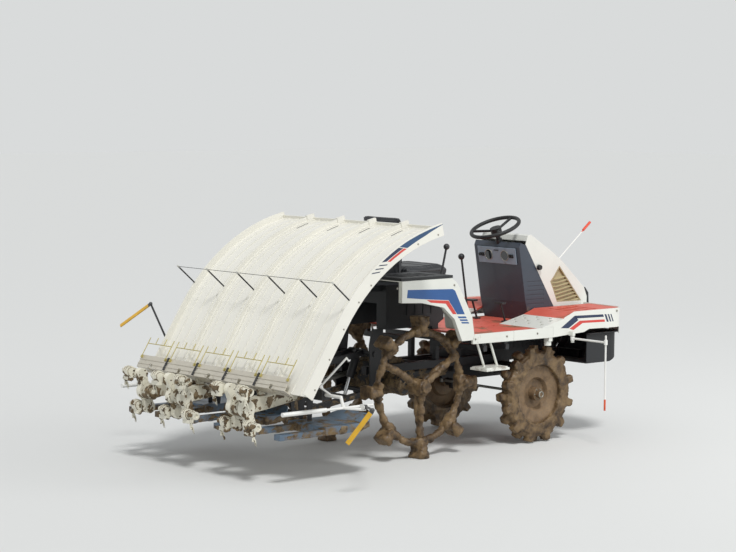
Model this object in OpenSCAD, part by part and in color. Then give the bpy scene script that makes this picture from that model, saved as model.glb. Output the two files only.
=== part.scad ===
// Ride-on rice transplanter for five rows, built at its real size in millimetres.
// +X is forward, +Y is left and +Z is up.
// The origin is on the ground, midway between the rear wheels.

/* [Rows and running gear] */
// Distance from one planted row to the next
row_pitch = 300; // [296:2:304]
// Distance from the rear axle to the front axle
wheelbase = 1040; // [1000:10:1100]
// Distance between the middles of the left and right wheels
track = 900; // [880:10:960]
// Diameter of a rear wheel over its lugs
rear_wheel_d = 900; // [860:10:940]
// Diameter of a front wheel over its lugs
front_wheel_d = 640; // [620:10:660]
// Lugs on a rear wheel
rear_lugs = 8; // [6:2:10]
// Lugs on each side of a front tyre
front_lugs = 12; // [8:4:16]
// Diameter of the smooth disc in a front wheel
disc_d = 380; // [340:10:390]

/* [Body] */
// Height of the main step floor
floor_z = 772; // [764:2:790]
// Height of the raised steps beside the bonnet
step_z = 858; // [850:2:870]
// Width over the side skirts and fenders
body_w = 1200; // [1180:10:1240]
// Width of the bonnet at the dash
bonnet_w = 430; // [400:10:450]
// Width of the bonnet at the nose
nose_w = 290; // [260:10:310]
// Thickness of the body panels
panel_t = 6; // [4:1:8]
// Height of the top of the seat cushion
seat_z = 1195; // [1160:5:1220]

/* [Planting section] */
// Length of the straight lower part of the seedling table
table_straight = 460; // [420:10:480]
// Slope of the straight lower part, in degrees
table_slope = 57.3; // [55:0.1:59]
// Radius of the curved upper part
table_bend_r = 1270; // [1220:10:1320]
// Turn of the curved upper part, in degrees
table_bend = 45; // [42:1:48]
// Depth of a white side panel of the table
side_depth = 80; // [70:2:90]
// Radius from a rotor's axle to its planting arms
rotor_r = 110; // [100:2:114]
// Length of a float
float_len = 740; // [700:10:760]

/* [Lift] */
// Length of the lift links between their pins
link_len = 600; // [580:5:640]
// Droop of the links below level as parked, in degrees
link_droop = 8; // [6:0.5:10]

/* [Hidden] */
$fn = 32;

white = "#e6e6df";
cream = "#e2dcc6";
black = "#1c1d20";
slate = "#414a57";
red = "#c9584a";
mud = "#6b5a44";
steel = "#8a8c8e";

// Clearances
pin_gap = 0.06;
slide_gap = 0.4;
seat_gap = 0.3;

// Places along the machine
front_x = wheelbase;
body_x = front_x - 40;
rear_hub_z = rear_wheel_d / 2;
front_hub_z = front_wheel_d / 2;
half_w = body_w / 2;
half_track = track / 2;
rail_in = 95;
rail_out = 140;
rail_z = [510, 560];
rail_rear = -175;
floor_t = 12;
outrigger_x = 432;
upright_in = 160;
upright_t = 12;

// Lift linkage: the lower and upper front pins and the point at the rear lower pin
low_pin = [-130, 400];
up_pin = [-130, 640];
hitch_pt = low_pin + link_len * [-cos(link_droop), -sin(link_droop)];
link_pin_r = 14;
low_link_y = 134;
up_link_y = 56;
link_w = 30;
// Lift cylinder: it shares the upper front pin, and its eye is carried by the lower links
ram_pin = up_pin;
eye_r = 120;
eye_droop = 24;
eye_pt = low_pin + eye_r * [-cos(eye_droop), -sin(eye_droop)];
ram_len = norm(eye_pt - ram_pin);
ram_ang = atan2(eye_pt[1] - ram_pin[1], eye_pt[0] - ram_pin[0]);
// Drive shaft: the middle of its front ball joint
shaft_front = [-118, 505];
shaft_y = 64;
shaft_ball = 20;
shaft_cup = 22;

// Kingpins and steering
kingpin_y = half_track - 120;
kingpin_r = 18;
arm_x = -110;
tie_z = 338;

// Folding side markers: hinge and reach
side_marker_x = body_x + 207;
side_marker_y = half_w + 22;
side_marker_z = 690;
side_marker_reach = 295;

// Planting section, measured from the rear lower pin
table_foot = [-587, 248];
rotor_pt = [-700, 130];
cross_pt = [-206, 184];
float_z = -36;
guard_y = 800;
guard_z = 124;
marker_pt = [-126, 134];
marker_y = 905;
marker_toe = 10;
marker_up = 78;
rotor_phase = 105;
case_w = 60;
rotor_t = 40;
rotor_gap = 8;
arm_gap = 6;
arm_t = 50;
column_w = row_pitch;
table_w = 5 * column_w;
// The seedling table is parked at the right end of its side-to-side travel
table_offset = -135;
rows_y = [for (i = [-2:2]) i * row_pitch];
// Planting cases, as columns: middle, and which sides carry a rotor
cases = [
    [-1.5 * row_pitch, [-1, 1]],
    [0.5 * row_pitch, [-1, 1]],
    [1.5 * row_pitch, [1]]
];

// A box between two corners given axis by axis
module span(x, y, z) {
    translate([x[0], y[0], z[0]])
        cube([x[1] - x[0], y[1] - y[0], z[1] - z[0]]);
}

// A side profile in X and Z, extruded from y[0] to y[1]
module across(y) {
    translate([0, y[1], 0])
        rotate([90, 0, 0])
            linear_extrude(y[1] - y[0])
                children();
}

// A front profile in Y and Z, extruded from x[0] to x[1]
module along(x) {
    translate([x[0], 0, 0])
        rotate([90, 0, 90])
            linear_extrude(x[1] - x[0])
                children();
}

// A round bar from p to q
module bar(p, q, r) {
    d = q - p;
    translate(p)
        rotate([0, acos(d[2] / norm(d)), atan2(d[1], d[0])])
            cylinder(r = r, h = norm(d));
}

// An upright cylinder whose foot is at a point
module post(foot, r, h) {
    translate(foot)
        cylinder(r = r, h = h);
}

// A bent round bar through the points, with a ball at each bend
module bent_bar(pts, r) {
    for (i = [0:len(pts) - 2])
        bar(pts[i], pts[i + 1], r);
    for (i = [1:len(pts) - 2])
        translate(pts[i])
            sphere(r = r + 0.4);
}

// A cylinder along Y, centred on y
module disc_y(x, z, r, y) {
    translate([x, y[1], z])
        rotate([90, 0, 0])
            cylinder(r = r, h = y[1] - y[0]);
}

// Both sides of the machine
module both() {
    children();
    mirror([0, 1, 0])
        children();
}

// Moves what is drawn to the planting section's reference point
module at_hitch() {
    translate([hitch_pt[0], 0, hitch_pt[1]])
        children();
}

// Chassis

module main_frame() {
    color(black) {
        both() {
            span([rail_rear, body_x + 580], [rail_in, rail_out], rail_z);
            // Outriggers that carry the floor
            for (x = [outrigger_x, body_x - 370]) {
                span([x, x + 30], [rail_out - 6, half_w - 20], [655, 690]);
                span([x, x + 30], [rail_in + 5, rail_out - 5], [rail_z[1] + seat_gap, 690]);
                span([x, x + 30], [half_w - 60, half_w - 30], [689, floor_z - floor_t - seat_gap]);
            }
        }
        for (x = [300, 560, body_x + 170])
            span([x, x + 40], [seat_gap - rail_in, rail_in - seat_gap], rail_z + [8, -8]);
        span([body_x + 580 + seat_gap, body_x + 620], [-330, 330], rail_z);
        tow_hook();
    }
}

// Plates behind the rails that carry the lift's two front pins
module lift_brackets() {
    color(black) {
        both() {
            difference() {
                across([upright_in, upright_in + upright_t])
                    polygon([[-60, 372], [-165, 372], [-172, 700], [-150, plinth_z - seat_gap],
                        [-60, plinth_z - seat_gap], [-74, 640]]);
                for (pin = [low_pin, up_pin])
                    disc_y(pin[0], pin[1], link_pin_r + pin_gap,
                        [upright_in - 1, upright_in + upright_t + 1]);
            }
            span([-150, -95], [rail_out + seat_gap, upright_in + 1], rail_z);
        }
        // Pins with a head at each end
        for (pin = [low_pin, up_pin]) {
            head_y = upright_in + upright_t + seat_gap;
            disc_y(pin[0], pin[1], link_pin_r, [-head_y - 1, head_y + 1]);
            both()
                disc_y(pin[0], pin[1], link_pin_r + 5, [head_y, head_y + 8]);
        }
    }
}

// Brackets in front of the frame, with the pin that the bonnet hinges on
module bonnet_brackets() {
    foot_x = 620 + seat_gap;
    color(black) {
        both()
            across([72, 82])
                translate([body_x, 0])
                    difference() {
                        union() {
                            polygon([[foot_x, 526], [640, 526], [690, 548], [742, 612], [742, 716],
                                [800, 716], [878, 806], [858, 818], [796, 762], [716, 742], [700, 650],
                                [634, 560], [foot_x, 560]]);
                            translate(bonnet_pin)
                                circle(r = 12);
                        }
                        translate(bonnet_pin)
                            circle(r = bonnet_pin_r + pin_gap);
                    }
        disc_y(body_x + bonnet_pin[0], bonnet_pin[1], bonnet_pin_r, [-100, 100]);
    }
}

// Bonnet hinge, measured from the reference of the front bodywork
bonnet_pin = [868, 814];
bonnet_pin_r = 6;

hook_x = body_x + 700;
hook_z = 436;
hook_r = 14;

module tow_hook() {
    across([-6, 6])
        difference() {
            union() {
                polygon([[hook_x - 105, rail_z[0] - seat_gap], [hook_x - 105, hook_z + 6],
                    [hook_x - 62, hook_z - 31], [hook_x, hook_z - 31], [hook_x, hook_z + 31],
                    [hook_x - 20, hook_z + 31], [hook_x - 84, rail_z[0] - seat_gap]]);
                translate([hook_x, hook_z])
                    circle(r = 31);
            }
            translate([hook_x, hook_z])
                circle(r = hook_r);
        }
}

engine_x = [body_x + 240.3, body_x + 540];

module engine() {
    color(steel)
        span(engine_x, [-rail_out + 2, rail_out - 2], [rail_z[1] + seat_gap, 900]);
}

// Black covers beside the engine and gear case, against the outer faces of the rails
module engine_covers() {
    cover_y = rail_out + seat_gap;
    color(black)
        both()
            difference() {
                across([cover_y, cover_y + panel_t])
                    polygon([[body_x - 60, 540], [body_x + 60, 512], [body_x + 399, 512],
                        [body_x + 399, floor_z - 20], [body_x - 60, floor_z - 20]]);
                for (i = [0:5])
                    span([body_x + 120 + 40 * i, body_x + 142 + 40 * i],
                        [cover_y + panel_t - 2, cover_y + panel_t + 1], [590, 690]);
            }
}

axle_r = 44;
axle_z = rail_z[0] - axle_r - seat_gap;

module transmission_case() {
    color(black)
        difference() {
            union() {
                across([-88, 88])
                    polygon([[640, 600], [640, 460], [700, 405], [front_x + 70, 405],
                        [front_x + 120, 440], [front_x + 120, 560], [front_x + 60, 625]]);
                disc_y(front_x, axle_z, axle_r, [-kingpin_y + 20, kingpin_y - 20]);
                both()
                    post([front_x, kingpin_y, axle_z - 50], 36, 110);
            }
            both()
                post([front_x, kingpin_y, axle_z - 51], kingpin_r + pin_gap, 112);
        }
}

module rear_axle_case() {
    color(black) {
        disc_y(0, rear_hub_z, rail_z[0] - seat_gap - rear_hub_z,
            [-half_track + 120, half_track - 120]);
        across([-88, 88])
            polygon([[-85, rear_hub_z - 85], [120, rear_hub_z - 85], [200, rear_hub_z - 30],
                [200, rear_hub_z + 120], [60, rear_hub_z + 170], [-85, rear_hub_z + 120]]);
        both()
            disc_y(0, rear_hub_z, 20, [half_track - 125, half_track + 40]);
        // The shaft case that joins the front and rear gear cases
        translate([190, 0, rear_hub_z + 20])
            rotate([0, 90, 0])
                cylinder(r = 38, h = 450 - seat_gap);
        // Socket for the drive shaft's ball
        difference() {
            translate([-84, shaft_y, shaft_front[1]])
                rotate([0, -90, 0])
                    cylinder(r = 23, h = shaft_cup + 2);
            translate([shaft_front[0], shaft_y, shaft_front[1]])
                sphere(r = shaft_ball + seat_gap);
        }
    }
}

// The outline of the front body in plan, as a list for one side
function plan_side(inset) = [
    [body_x + 47, half_w - inset],
    for (a = [0:15:75])
    [body_x + 640 + (120 - inset) * sin(a), half_w - 120 + (120 - inset) * cos(a)],
    [body_x + 792 - inset, 160]
];

module plan_outline(inset) {
    side = plan_side(inset);
    polygon(concat(side, [for (i = [len(side) - 1:-1:0]) [side[i][0], -side[i][1]]]));
}

tray_z = rail_z[0] - seat_gap - panel_t;

// Black cover under the nose, open above and behind
module front_undertray() {
    color(black)
        difference() {
            union() {
                tray_form(30, 0);
                // Flange that meets the fenders
                translate([0, 0, 700])
                    linear_extrude(panel_t)
                        intersection() {
                            plan_outline(panel_t + seat_gap);
                            translate([body_x + 402, -half_w])
                                square([500, body_w]);
                        }
            }
            tray_form(30 + panel_t, panel_t);
            // Slot for the tow hook
            span([hook_x - 120, hook_x + 40], [-9, 9], [480, 570]);
        }
}

module tray_form(inset, lift) {
    intersection() {
        translate([0, 0, 480])
            linear_extrude(226 + 2 * lift)
                intersection() {
                    plan_outline(inset);
                    translate([body_x + 400 - 2 * lift, -half_w])
                        square([500, body_w]);
                }
        across([-half_w, half_w])
            polygon([[body_x + 380, tray_z + lift], [body_x + 625, tray_z + lift],
                [body_x + 700 - lift, 530 + lift], [body_x + 800 - lift, 640 + lift], [body_x + 800, 730],
                [body_x + 380, 730]]);
    }
}

// Ramp from the step floor up to the raised steps, in X and Z from its foot to its top. Its
// lower part is white and belongs to the fender, and the rest is red.
ramp = [[body_x - 80, floor_z], [body_x + 150, floor_z + 50], [body_x + 250, step_z]];
ramp_in = 225;

// Red step floor with the raised front steps beside the bonnet
module floor_panels() {
    floor_half = half_w - 8 - seat_gap;
    raised_half = half_w - panel_t - seat_gap;
    color(red) {
        difference() {
            union() {
                span([fender_x + seat_gap, ramp[0][0] - seat_gap], [-floor_half, floor_half],
                    [floor_z - floor_t, floor_z]);
                span([ramp[0][0] - 1, body_x + 239.9], [-222, 222], [floor_z - floor_t, floor_z]);
            }
            for (x = [430:110:body_x - 140])
                both()
                    span([x, x + 60], [270, 300], [floor_z - 20, floor_z + 1]);
        }
        both() {
            difference() {
                translate([0, 0, step_z - floor_t])
                    linear_extrude(floor_t)
                        intersection() {
                            plan_outline(panel_t + seat_gap);
                            translate([ramp[2][0] - 1, ramp_in])
                                square([900, half_w]);
                        }
                for (i = [0:3])
                    span([ramp[2][0] + 40 + 80 * i, ramp[2][0] + 70 + 80 * i], [300, 520],
                        [step_z - 4, step_z + 1]);
            }
            across([ramp_in, raised_half])
                polygon([ramp[1] + [seat_gap, -floor_t], ramp[1] + [seat_gap, 0], ramp[2],
                    ramp[2] - [0, floor_t]]);
        }
    }
}

module side_skirts() {
    color(white)
        both() {
            difference() {
                across([half_w - 18, half_w])
                    polygon([[fender_x - 10, 712], [body_x + 46, 706], [body_x + 46, floor_z + 2],
                        [fender_x + 2, floor_z + 2], [fender_x + 2, floor_z - 3], [fender_x - 10, 738]]);
                across([half_w - 19, half_w - panel_t])
                    polygon([[fender_x - 2, 712 + panel_t], [body_x + 38, 706 + panel_t],
                        [body_x + 38, floor_z - floor_t], [fender_x + 8, floor_z - floor_t]]);
                span([fender_x - 20, body_x + 47], [half_w - 19, half_w - 8],
                    [floor_z - floor_t - 0.5, floor_z + 3]);
                span([680, 684], [half_w - 2, half_w + 1], [700, floor_z + 10]);
            }
            // Bracket below the skirt's front end
            post([body_x + 30, half_w - 34, 652], 24, 30);
            span([body_x + 14, body_x + 46], [half_w - 50, half_w - panel_t + 1],
                [681, floor_z - floor_t - seat_gap]);
        }
}

// White band round the raised front steps, with its wheel cut-out and the foot of the ramp
module front_fenders() {
    rim = 6;
    band_x = body_x + 47.3;
    lip_y = half_w - 8 - seat_gap;
    color(white)
        both() {
            difference() {
                translate([0, 0, 690])
                    linear_extrude(step_z + rim - 690)
                        difference() {
                            intersection() {
                                plan_outline(0);
                                translate([band_x, nose_w / 2 + 30])
                                    square([1000, half_w]);
                            }
                            plan_outline(panel_t);
                        }
                across([half_w - 200, half_w + 1])
                    polygon([[body_x + 40, 680], [body_x + 706, 680], [body_x + 706, 735],
                        [body_x + 390, 740], [body_x + 340, 722], [body_x + 250, 718],
                        [body_x + 40, 706]]);
                // Above the ramp
                across([half_w - 200, half_w + 1])
                    polygon([ramp[0] - [1, 0], ramp[1], ramp[1] + [4, rim], ramp[2] + [0, rim],
                        ramp[2] + [0, rim + 20], [ramp[0][0], step_z + rim + 20]]);
                across([0, half_w - 160])
                    polygon([[body_x + 650, 680], [body_x + 900, 680], [body_x + 900, 735],
                        [body_x + 650, 735]]);
            }
            // Lower part of the ramp, and its edge over the skirt
            difference() {
                across([ramp_in, lip_y])
                    polygon([ramp[0] - [0, floor_t], ramp[0], ramp[1], ramp[1] - [0, panel_t + 2],
                        ramp[0] + [30, -floor_t]]);
                for (i = [0:3])
                    for (y = [300, 420, 540])
                        translate([ramp[0][0] + 60 + 44 * i, y - (i % 2) * 50, floor_z])
                            span([0, 26], [-14, 14], [-40, 90]);
            }
            across([lip_y - 1, half_w])
                polygon([[ramp[0][0] + 20, floor_z + 2 + seat_gap], [ramp[1][0], floor_z + 2 + seat_gap],
                    ramp[1], ramp[0] + 20 * (ramp[1] - ramp[0]) / (ramp[1] - ramp[0])[0]]);
            // Lug and pin for the folding side marker
            span([side_marker_x - 12, side_marker_x + 12], [half_w - 5, side_marker_y + 12],
                [side_marker_z + 18, side_marker_z + 48]);
            post([side_marker_x, side_marker_y, side_marker_z - 26], 7, 50);
            post([side_marker_x, side_marker_y, side_marker_z - 26], 11, 8);
        }
}

// Front end of the rear fenders, at the floor
fender_x = 330;

// Rear fender: outer panel, sloping front, top and the arch over the wheel
function fender_outline() = [
    [-290, 1140], [-290, 1007], [-122, 998], [60, 960], [156, 880], [223, 738],
    [fender_x - 12, 738], [fender_x, floor_z - 3], [308, 890], [201, 1074], [170, 1115], [125, 1140]
];

module rear_fenders() {
    color(white)
        both()
            difference() {
                across([half_w - 250, half_w])
                    polygon(fender_outline());
                // Room for the wheel
                across([half_w - 251, half_w - 25 - panel_t])
                    polygon([[-300, 980], [-300, 1140 - panel_t], [125, 1140 - panel_t],
                        [160, 1115 - panel_t], [195, 1066], [300, 884], [318, floor_z - 3], [306, 730],
                        [100, 730]]);
                across([half_w - 60, half_w - panel_t])
                    polygon([[-282, 1132], [-282, 1015], [-122, 1006], [60, 970], [166, 884], [231, 748],
                        [306, 748], [316, floor_z - 3], [298, 886], [193, 1068], [162, 1108],
                        [122, 1132]]);
                disc_y(0, rear_hub_z, rear_wheel_d / 2 + 22,
                    [half_w - 251, half_w - 25 - panel_t]);
                for (i = [0:2])
                    span([-300, -270], [half_w - 105 + 30 * i, half_w - 92 + 30 * i], [1030, 1100]);
            }
}

// Black deck over the fenders, open in front round the seat
deck_z = 1140;

module rear_deck() {
    color(black)
        difference() {
            span([-285, 150], [-half_w + 14, half_w - 14], [deck_z + seat_gap, deck_z + 18]);
            both()
                for (i = [0:4])
                    span([-200 + 60 * i, -170 + 60 * i], [330, 520], [deck_z + 10, deck_z + 20]);
            span([-100, 151], [-250, 250], [deck_z - 10, deck_z + 20]);
        }
}

// Seat plinth: a cover open below and behind, its foot on the floor, the arms that carry the
// deck and the slides of the seat
plinth_z = 800;
plinth_top = 1080;

module seat_plinth() {
    color(black) {
        difference() {
            across([-240, 240])
                polygon([[-99, plinth_z], [-99, plinth_top], [40, plinth_top], [300, plinth_top],
                    [400, 1020], [400, 840], [330, plinth_z]]);
            across([-150, 150])
                polygon([[-110, plinth_z - 20], [-110, 960], [-20, 960], [300, 900],
                    [300, plinth_z - 20]]);
            for (i = [0:3])
                both()
                    span([40 + 70 * i, 80 + 70 * i], [236, 241], [880, 980]);
        }
        span([340, 390], [-200, 200], [floor_z + seat_gap, 841]);
        both() {
            span([-280, -240], [150, 190], [plinth_top - 1, deck_z]);
            span([-280, -98], [150, 190], [plinth_top - 40, plinth_top]);
            span([100, 420], [110, 140], [plinth_top - 1, plinth_top + 18]);
        }
    }
}

module seat_cushion() {
    color(black)
        across([-215, 215])
            polygon([[95, 1098.5], [95, seat_z - 20], [115, seat_z], [300, seat_z - 12],
                [440, seat_z + 4], [500, seat_z - 8], [515, seat_z - 40], [490, 1110], [470, 1098.5]]);
}

module seat_back() {
    color(slate)
        intersection() {
            across([-205, 205])
                polygon([[70, 1098.5], [94.7, 1098.5], [94.7, seat_z], [128, seat_z + 12],
                    [112, seat_z + 180], [96, 1500], [80, 1520], [58, 1520], [44, 1496],
                    [58, seat_z + 60], [56, 1110]]);
            along([0, 200])
                polygon([[-120, 1090], [120, 1090], [205, seat_z + 30], [205, 1470], [170, 1522],
                    [-170, 1522], [-205, 1470], [-205, seat_z + 30]]);
        }
}

// The line where the leg shield meets the bonnet, from low to high
function dash_line(lift) = [body_x + 464 - 278 * lift, 832 + 430 * lift];

// The same line a seat gap further forward, for the bonnet's rear edge
function seam(lift) = dash_line(lift) + seat_gap * [430, 278] / norm([430, 278]);

// The steering wheel's centre and the column's lean
sw_pt = [body_x + 95, 1395];
sw_lean = 22;
column_r = 24;

// A point on the steering axis, d below the wheel's centre
function column_at(d) = [sw_pt[0] + d * sin(sw_lean), 0, sw_pt[1] - d * cos(sw_lean)];

module dash_cover() {
    color(slate)
        difference() {
            across([-bonnet_w / 2, bonnet_w / 2])
                polygon([[body_x + 110, 1268], [body_x + 124, 1300], dash_line(1.05), dash_line(0),
                    [body_x + 350, floor_z + seat_gap], [body_x + 215, floor_z + seat_gap],
                    [body_x + 176, 900]]);
            across([-bonnet_w / 2 + panel_t, bonnet_w / 2 - panel_t])
                polygon([[body_x + 130, 1262], [body_x + 150, 1274], dash_line(1), dash_line(-0.2),
                    [body_x + 221, 760], [body_x + 192, 900]]);
            bar(column_at(60), column_at(200), column_r + 1);
            for (i = [0:5])
                both()
                    span([body_x + 190, body_x + 350], [bonnet_w / 2 - 2, bonnet_w / 2 + 1],
                        [880 + 30 * i, 888 + 30 * i]);
        }
}

module steering_column() {
    foot = (sw_pt[1] - 914) / cos(sw_lean);
    color(black) {
        difference() {
            bar(column_at(86), column_at(foot), column_r);
            bar(column_at(80), column_at(114), 16 + pin_gap);
        }
        span([column_at(foot)[0] - 60, column_at(foot)[0] + 60], [-140, 140], [900 + seat_gap, 916]);
    }
}

module steering_wheel() {
    color(black)
        translate([sw_pt[0], 0, sw_pt[1]])
            rotate([0, -sw_lean, 0]) {
                rotate_extrude($fn = 48)
                    translate([165, 0])
                        circle(r = 13, $fn = 16);
                for (a = [0:120:240])
                    rotate(a)
                        bar([20, 0, -22], [160, 0, -2], 9);
                post([0, 0, -36], 38, 34);
                post([0, 0, -110], 16, 76);
            }
}

module boarding_steps() {
    top = floor_z - floor_t - seat_gap;
    color(white)
        both() {
            span([383, 588], [half_w - 90, half_w + 60], [537, 552]);
            for (x = [405, 520]) {
                bar([x + 45, half_w - 30, 551], [x - 40, half_w - 30, top - 4], 8);
                span([x - 54, x - 20], [half_w - 40, half_w - 22], [top - 6, top]);
            }
            difference() {
                span([392, 580], [half_w - 80, half_w + 50], [551, 558]);
                for (i = [0:7])
                    span([400 + 22 * i, 412 + 22 * i], [half_w - 12, half_w + 40], [550, 560]);
            }
        }
}

module levers() {
    color(black) {
        // Main gear lever beside the dash
        bar([body_x + 35, 190, floor_z + 6], [body_x - 21, 205, 1190], 7);
        post([body_x + 35, 190, floor_z + seat_gap], 20, 14);
        translate([body_x - 21, 205, 1190])
            sphere(r = 22);
        // Planting lever beside the seat
        bar([300, -275, 960], [372, -290, 1310], 7);
        translate([372, -290, 1310])
            sphere(r = 20);
        span([260, 340], [-290, -240 - seat_gap], [940, 975]);
        // Brake and clutch pedals
        for (y = [-165, 105]) {
            bar([body_x + 35, y, floor_z + 5], [body_x - 10, y, 900], 7);
            span([body_x + 15, body_x + 55], [y - 16, y + 16], [floor_z + seat_gap, floor_z + 10]);
            span([body_x - 32, body_x + 8], [y - 35, y + 35], [896, 908]);
        }
    }
}

// Bonnet

// Keeps only what lies between the bonnet's tapering sides
module bonnet_taper(inset) {
    translate([0, 0, 780])
        linear_extrude(700)
            polygon([[body_x + 40, bonnet_w / 2 - inset], [body_x + 440, bonnet_w / 2 - inset],
                [body_x + 850 - inset, nose_w / 2 - inset], [body_x + 890 - inset, nose_w / 2 - 45],
                [body_x + 890 - inset, -nose_w / 2 + 45], [body_x + 850 - inset, -nose_w / 2 + inset],
                [body_x + 440, -bonnet_w / 2 + inset], [body_x + 40, -bonnet_w / 2 + inset]]);
}

// Louvred opening in the bonnet's side, and its middle
louvre_pts = [[513, 1130], [411, 1028], [488, 884], [782, 874]];
louvre_mid = [548, 970];

module louvre_outline(size) {
    polygon([for (p = louvre_pts) [body_x, 0] + louvre_mid + size * (p - louvre_mid)]);
}

module bonnet() {
    color(white) {
        bonnet_shell();
        // Ears that hang on the hinge pin
        both()
            across([86, 96])
                translate([body_x, 0])
                    difference() {
                        union() {
                            polygon([[872, 848], [876.5, 848], [884, 834], [880, 812], [862, 806],
                                [858, 822]]);
                            translate(bonnet_pin)
                                circle(r = 12);
                        }
                        translate(bonnet_pin)
                            circle(r = bonnet_pin_r + pin_gap);
                    }
    }
}

module bonnet_shell() {
    difference() {
        intersection() {
            across([-250, 250])
                polygon([seam(1.055), [body_x + 190, 1346], [body_x + 222, 1352], [body_x + 560, 1150],
                    [body_x + 815, 965], [body_x + 886, 832], seam(0)]);
            bonnet_taper(0);
        }
        intersection() {
            across([-250, 250])
                polygon([dash_line(1.03) + [-20, 0], [body_x + 196, 1338], [body_x + 220, 1345],
                    [body_x + 556, 1144], [body_x + 810, 961], [body_x + 878, 832], [body_x + 878, 800],
                    dash_line(0) + [-20, -40]]);
            bonnet_taper(panel_t);
        }
        across([-260, 260])
            louvre_outline(1);
        // Edges taken off along the top
        both()
            bonnet_edge();
    }
}

// The cut that takes off a top edge of the bonnet
module bonnet_edge() {
    translate([body_x + 560, bonnet_w / 2 - 21, 1150])
        rotate([0, 30, -6])
            translate([-520, 0, 0])
                rotate([45, 0, 0])
                    translate([0, 8, 8])
                        cube([1000, 60, 60]);
}

// Louvres: a back plate, a rim and slats that slope down and out
module louvre_panels() {
    color(cream)
        both()
            intersection() {
                union() {
                    difference() {
                        louvre_plate(1, 14);
                        across([0, 300])
                            louvre_outline(0.92);
                    }
                    louvre_plate(14, 18);
                    for (z = [928:26:1120])
                        translate([body_x + 380, 100, z])
                            rotate([-35, 0, 0])
                                cube([420, 130, 4]);
                }
                across([80, 260])
                    louvre_outline(0.998);
                louvre_plate(1, 18);
            }
}

// The space between two depths behind the bonnet's tapering left side
module louvre_plate(near, far) {
    difference() {
        bonnet_taper(near);
        translate([0, 0, -1])
            bonnet_taper(far);
        translate([0, 0, 1])
            bonnet_taper(far);
        span([body_x, body_x + 900], [-400, 40], [700, 1500]);
    }
}

// Dark grille that leans forward below the bonnet's nose
module nose_grille() {
    half = nose_w / 2 - 12;
    color(black)
        difference() {
            intersection() {
                across([-half, half])
                    polygon([[body_x + 886.3, 826], [body_x + 886.3, 832.3], [body_x + 818, 962],
                        [body_x + 846, 962], [body_x + 960, 826]]);
                translate([0, 0, 800])
                    linear_extrude(200)
                        polygon([[body_x + 800, half], [body_x + 880, half], [body_x + 962, half - 70],
                            [body_x + 962, 70 - half], [body_x + 880, -half], [body_x + 800, -half]]);
            }
            for (i = [0:4])
                translate([body_x + 864 + 19 * i, 20 - half, 940 - 24.5 * i])
                    rotate([0, 37, 0])
                        cube([60, 2 * half - 40, 12]);
        }
}

// Thin sighting pole with a bright tip, on the bonnet's centre line
module centre_pole() {
    lean = atan2(1150 - 965, 815 - 560);
    foot = [body_x + 640, 0, 1150 - 80 * tan(lean)];
    tip = [body_x + 1028, 0, 1400];
    base = foot + 8 * [sin(lean), 0, cos(lean)];
    color(white) {
        bar(base, tip, 4);
        bar(base + 0.82 * (tip - base), tip, 9);
        translate(foot)
            rotate([0, lean, 0])
                post([0, 0, seat_gap], 16, 12);
    }
}

// Steering

module knuckle(side) {
    arm_w = 26;
    color(black) {
        post([front_x, side * kingpin_y, tie_z + 16], kingpin_r, axle_z + 80 - tie_z - 16);
        post([front_x, side * kingpin_y, front_hub_z - 44], 34, axle_z - 56 - front_hub_z + 44);
        post([front_x, side * kingpin_y, axle_z + 64], 27, 16);
        disc_y(front_x, front_hub_z, 30,
            side > 0 ? [kingpin_y, half_track - 62] : [-half_track + 62, -kingpin_y]);
        disc_y(front_x, front_hub_z, 16,
            side > 0 ? [kingpin_y, half_track + 34] : [-half_track - 34, -kingpin_y]);
        span([front_x + arm_x - arm_w / 2, front_x - 20],
            [side * kingpin_y - arm_w / 2, side * kingpin_y + arm_w / 2], [tie_z + 16, tie_z + 30]);
        post([front_x + arm_x, side * kingpin_y, tie_z - 14], 8, 31);
    }
}

module tie_rod() {
    color(steel)
        difference() {
            union() {
                disc_y(front_x + arm_x, tie_z, 9, [-kingpin_y + 10, kingpin_y - 10]);
                both()
                    post([front_x + arm_x, kingpin_y, tie_z - 11], 17, 22);
            }
            both()
                post([front_x + arm_x, kingpin_y, tie_z - 12], 8 + pin_gap, 24);
        }
}

// Wheels

// Front tyre: a smooth carcass with two staggered rings of chunky lugs
module front_tyre(side) {
    carcass_r = front_wheel_d / 2 - 34;
    inner_r = disc_d / 2 + 2;
    half_tyre = 46;
    color(mud)
        translate([front_x, side * half_track, front_hub_z])
            rotate([90, 0, 0]) {
                for (k = [0, 16])
                    translate([0, 0, k - half_tyre])
                        linear_extrude(2 * (half_tyre - k))
                            ring(carcass_r - 18 + 18 * k / 16, inner_r / cos(4.5), 40);
                for (i = [0:front_lugs - 1])
                    for (s = [-1, 1])
                        rotate(-90 + (i + (s > 0 ? 0.5 : 0)) * 360 / front_lugs)
                            translate([0, 0, s * 22])
                                front_lug(carcass_r, s);
            }
}

// One lug, pointing along +X, on side s of the tyre
module front_lug(carcass_r, s) {
    translate([0, 0, -26])
        linear_extrude(52)
            polygon([[carcass_r - 30, -30], [front_wheel_d / 2 - 6, -24], [front_wheel_d / 2, -16],
                [front_wheel_d / 2, 16], [front_wheel_d / 2 - 6, 24], [carcass_r - 30, 30]]);
}

// Front wheel disc: a dished plate, deepest at the hub
module front_rim(side) {
    r = disc_d / 2;
    color(mud)
        translate([front_x, side * half_track, front_hub_z])
            rotate([side > 0 ? -90 : 90, 0, 0])
                difference() {
                    union() {
                        rotate_extrude($fn = 48)
                            polygon([[40, -20], [95, -20], [110, 6], [r - 12, 20], [r + 1.4, 20],
                                [r + 1.4, -24], [r - 4, -24], [r - 8, 10], [114, -6], [100, -28],
                                [40, -28]]);
                        post([0, 0, -56], 44, 84);
                        post([0, 0, 20], 24, 34);
                    }
                    post([0, 0, -60], 16 + pin_gap, 96);
                }
}

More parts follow.
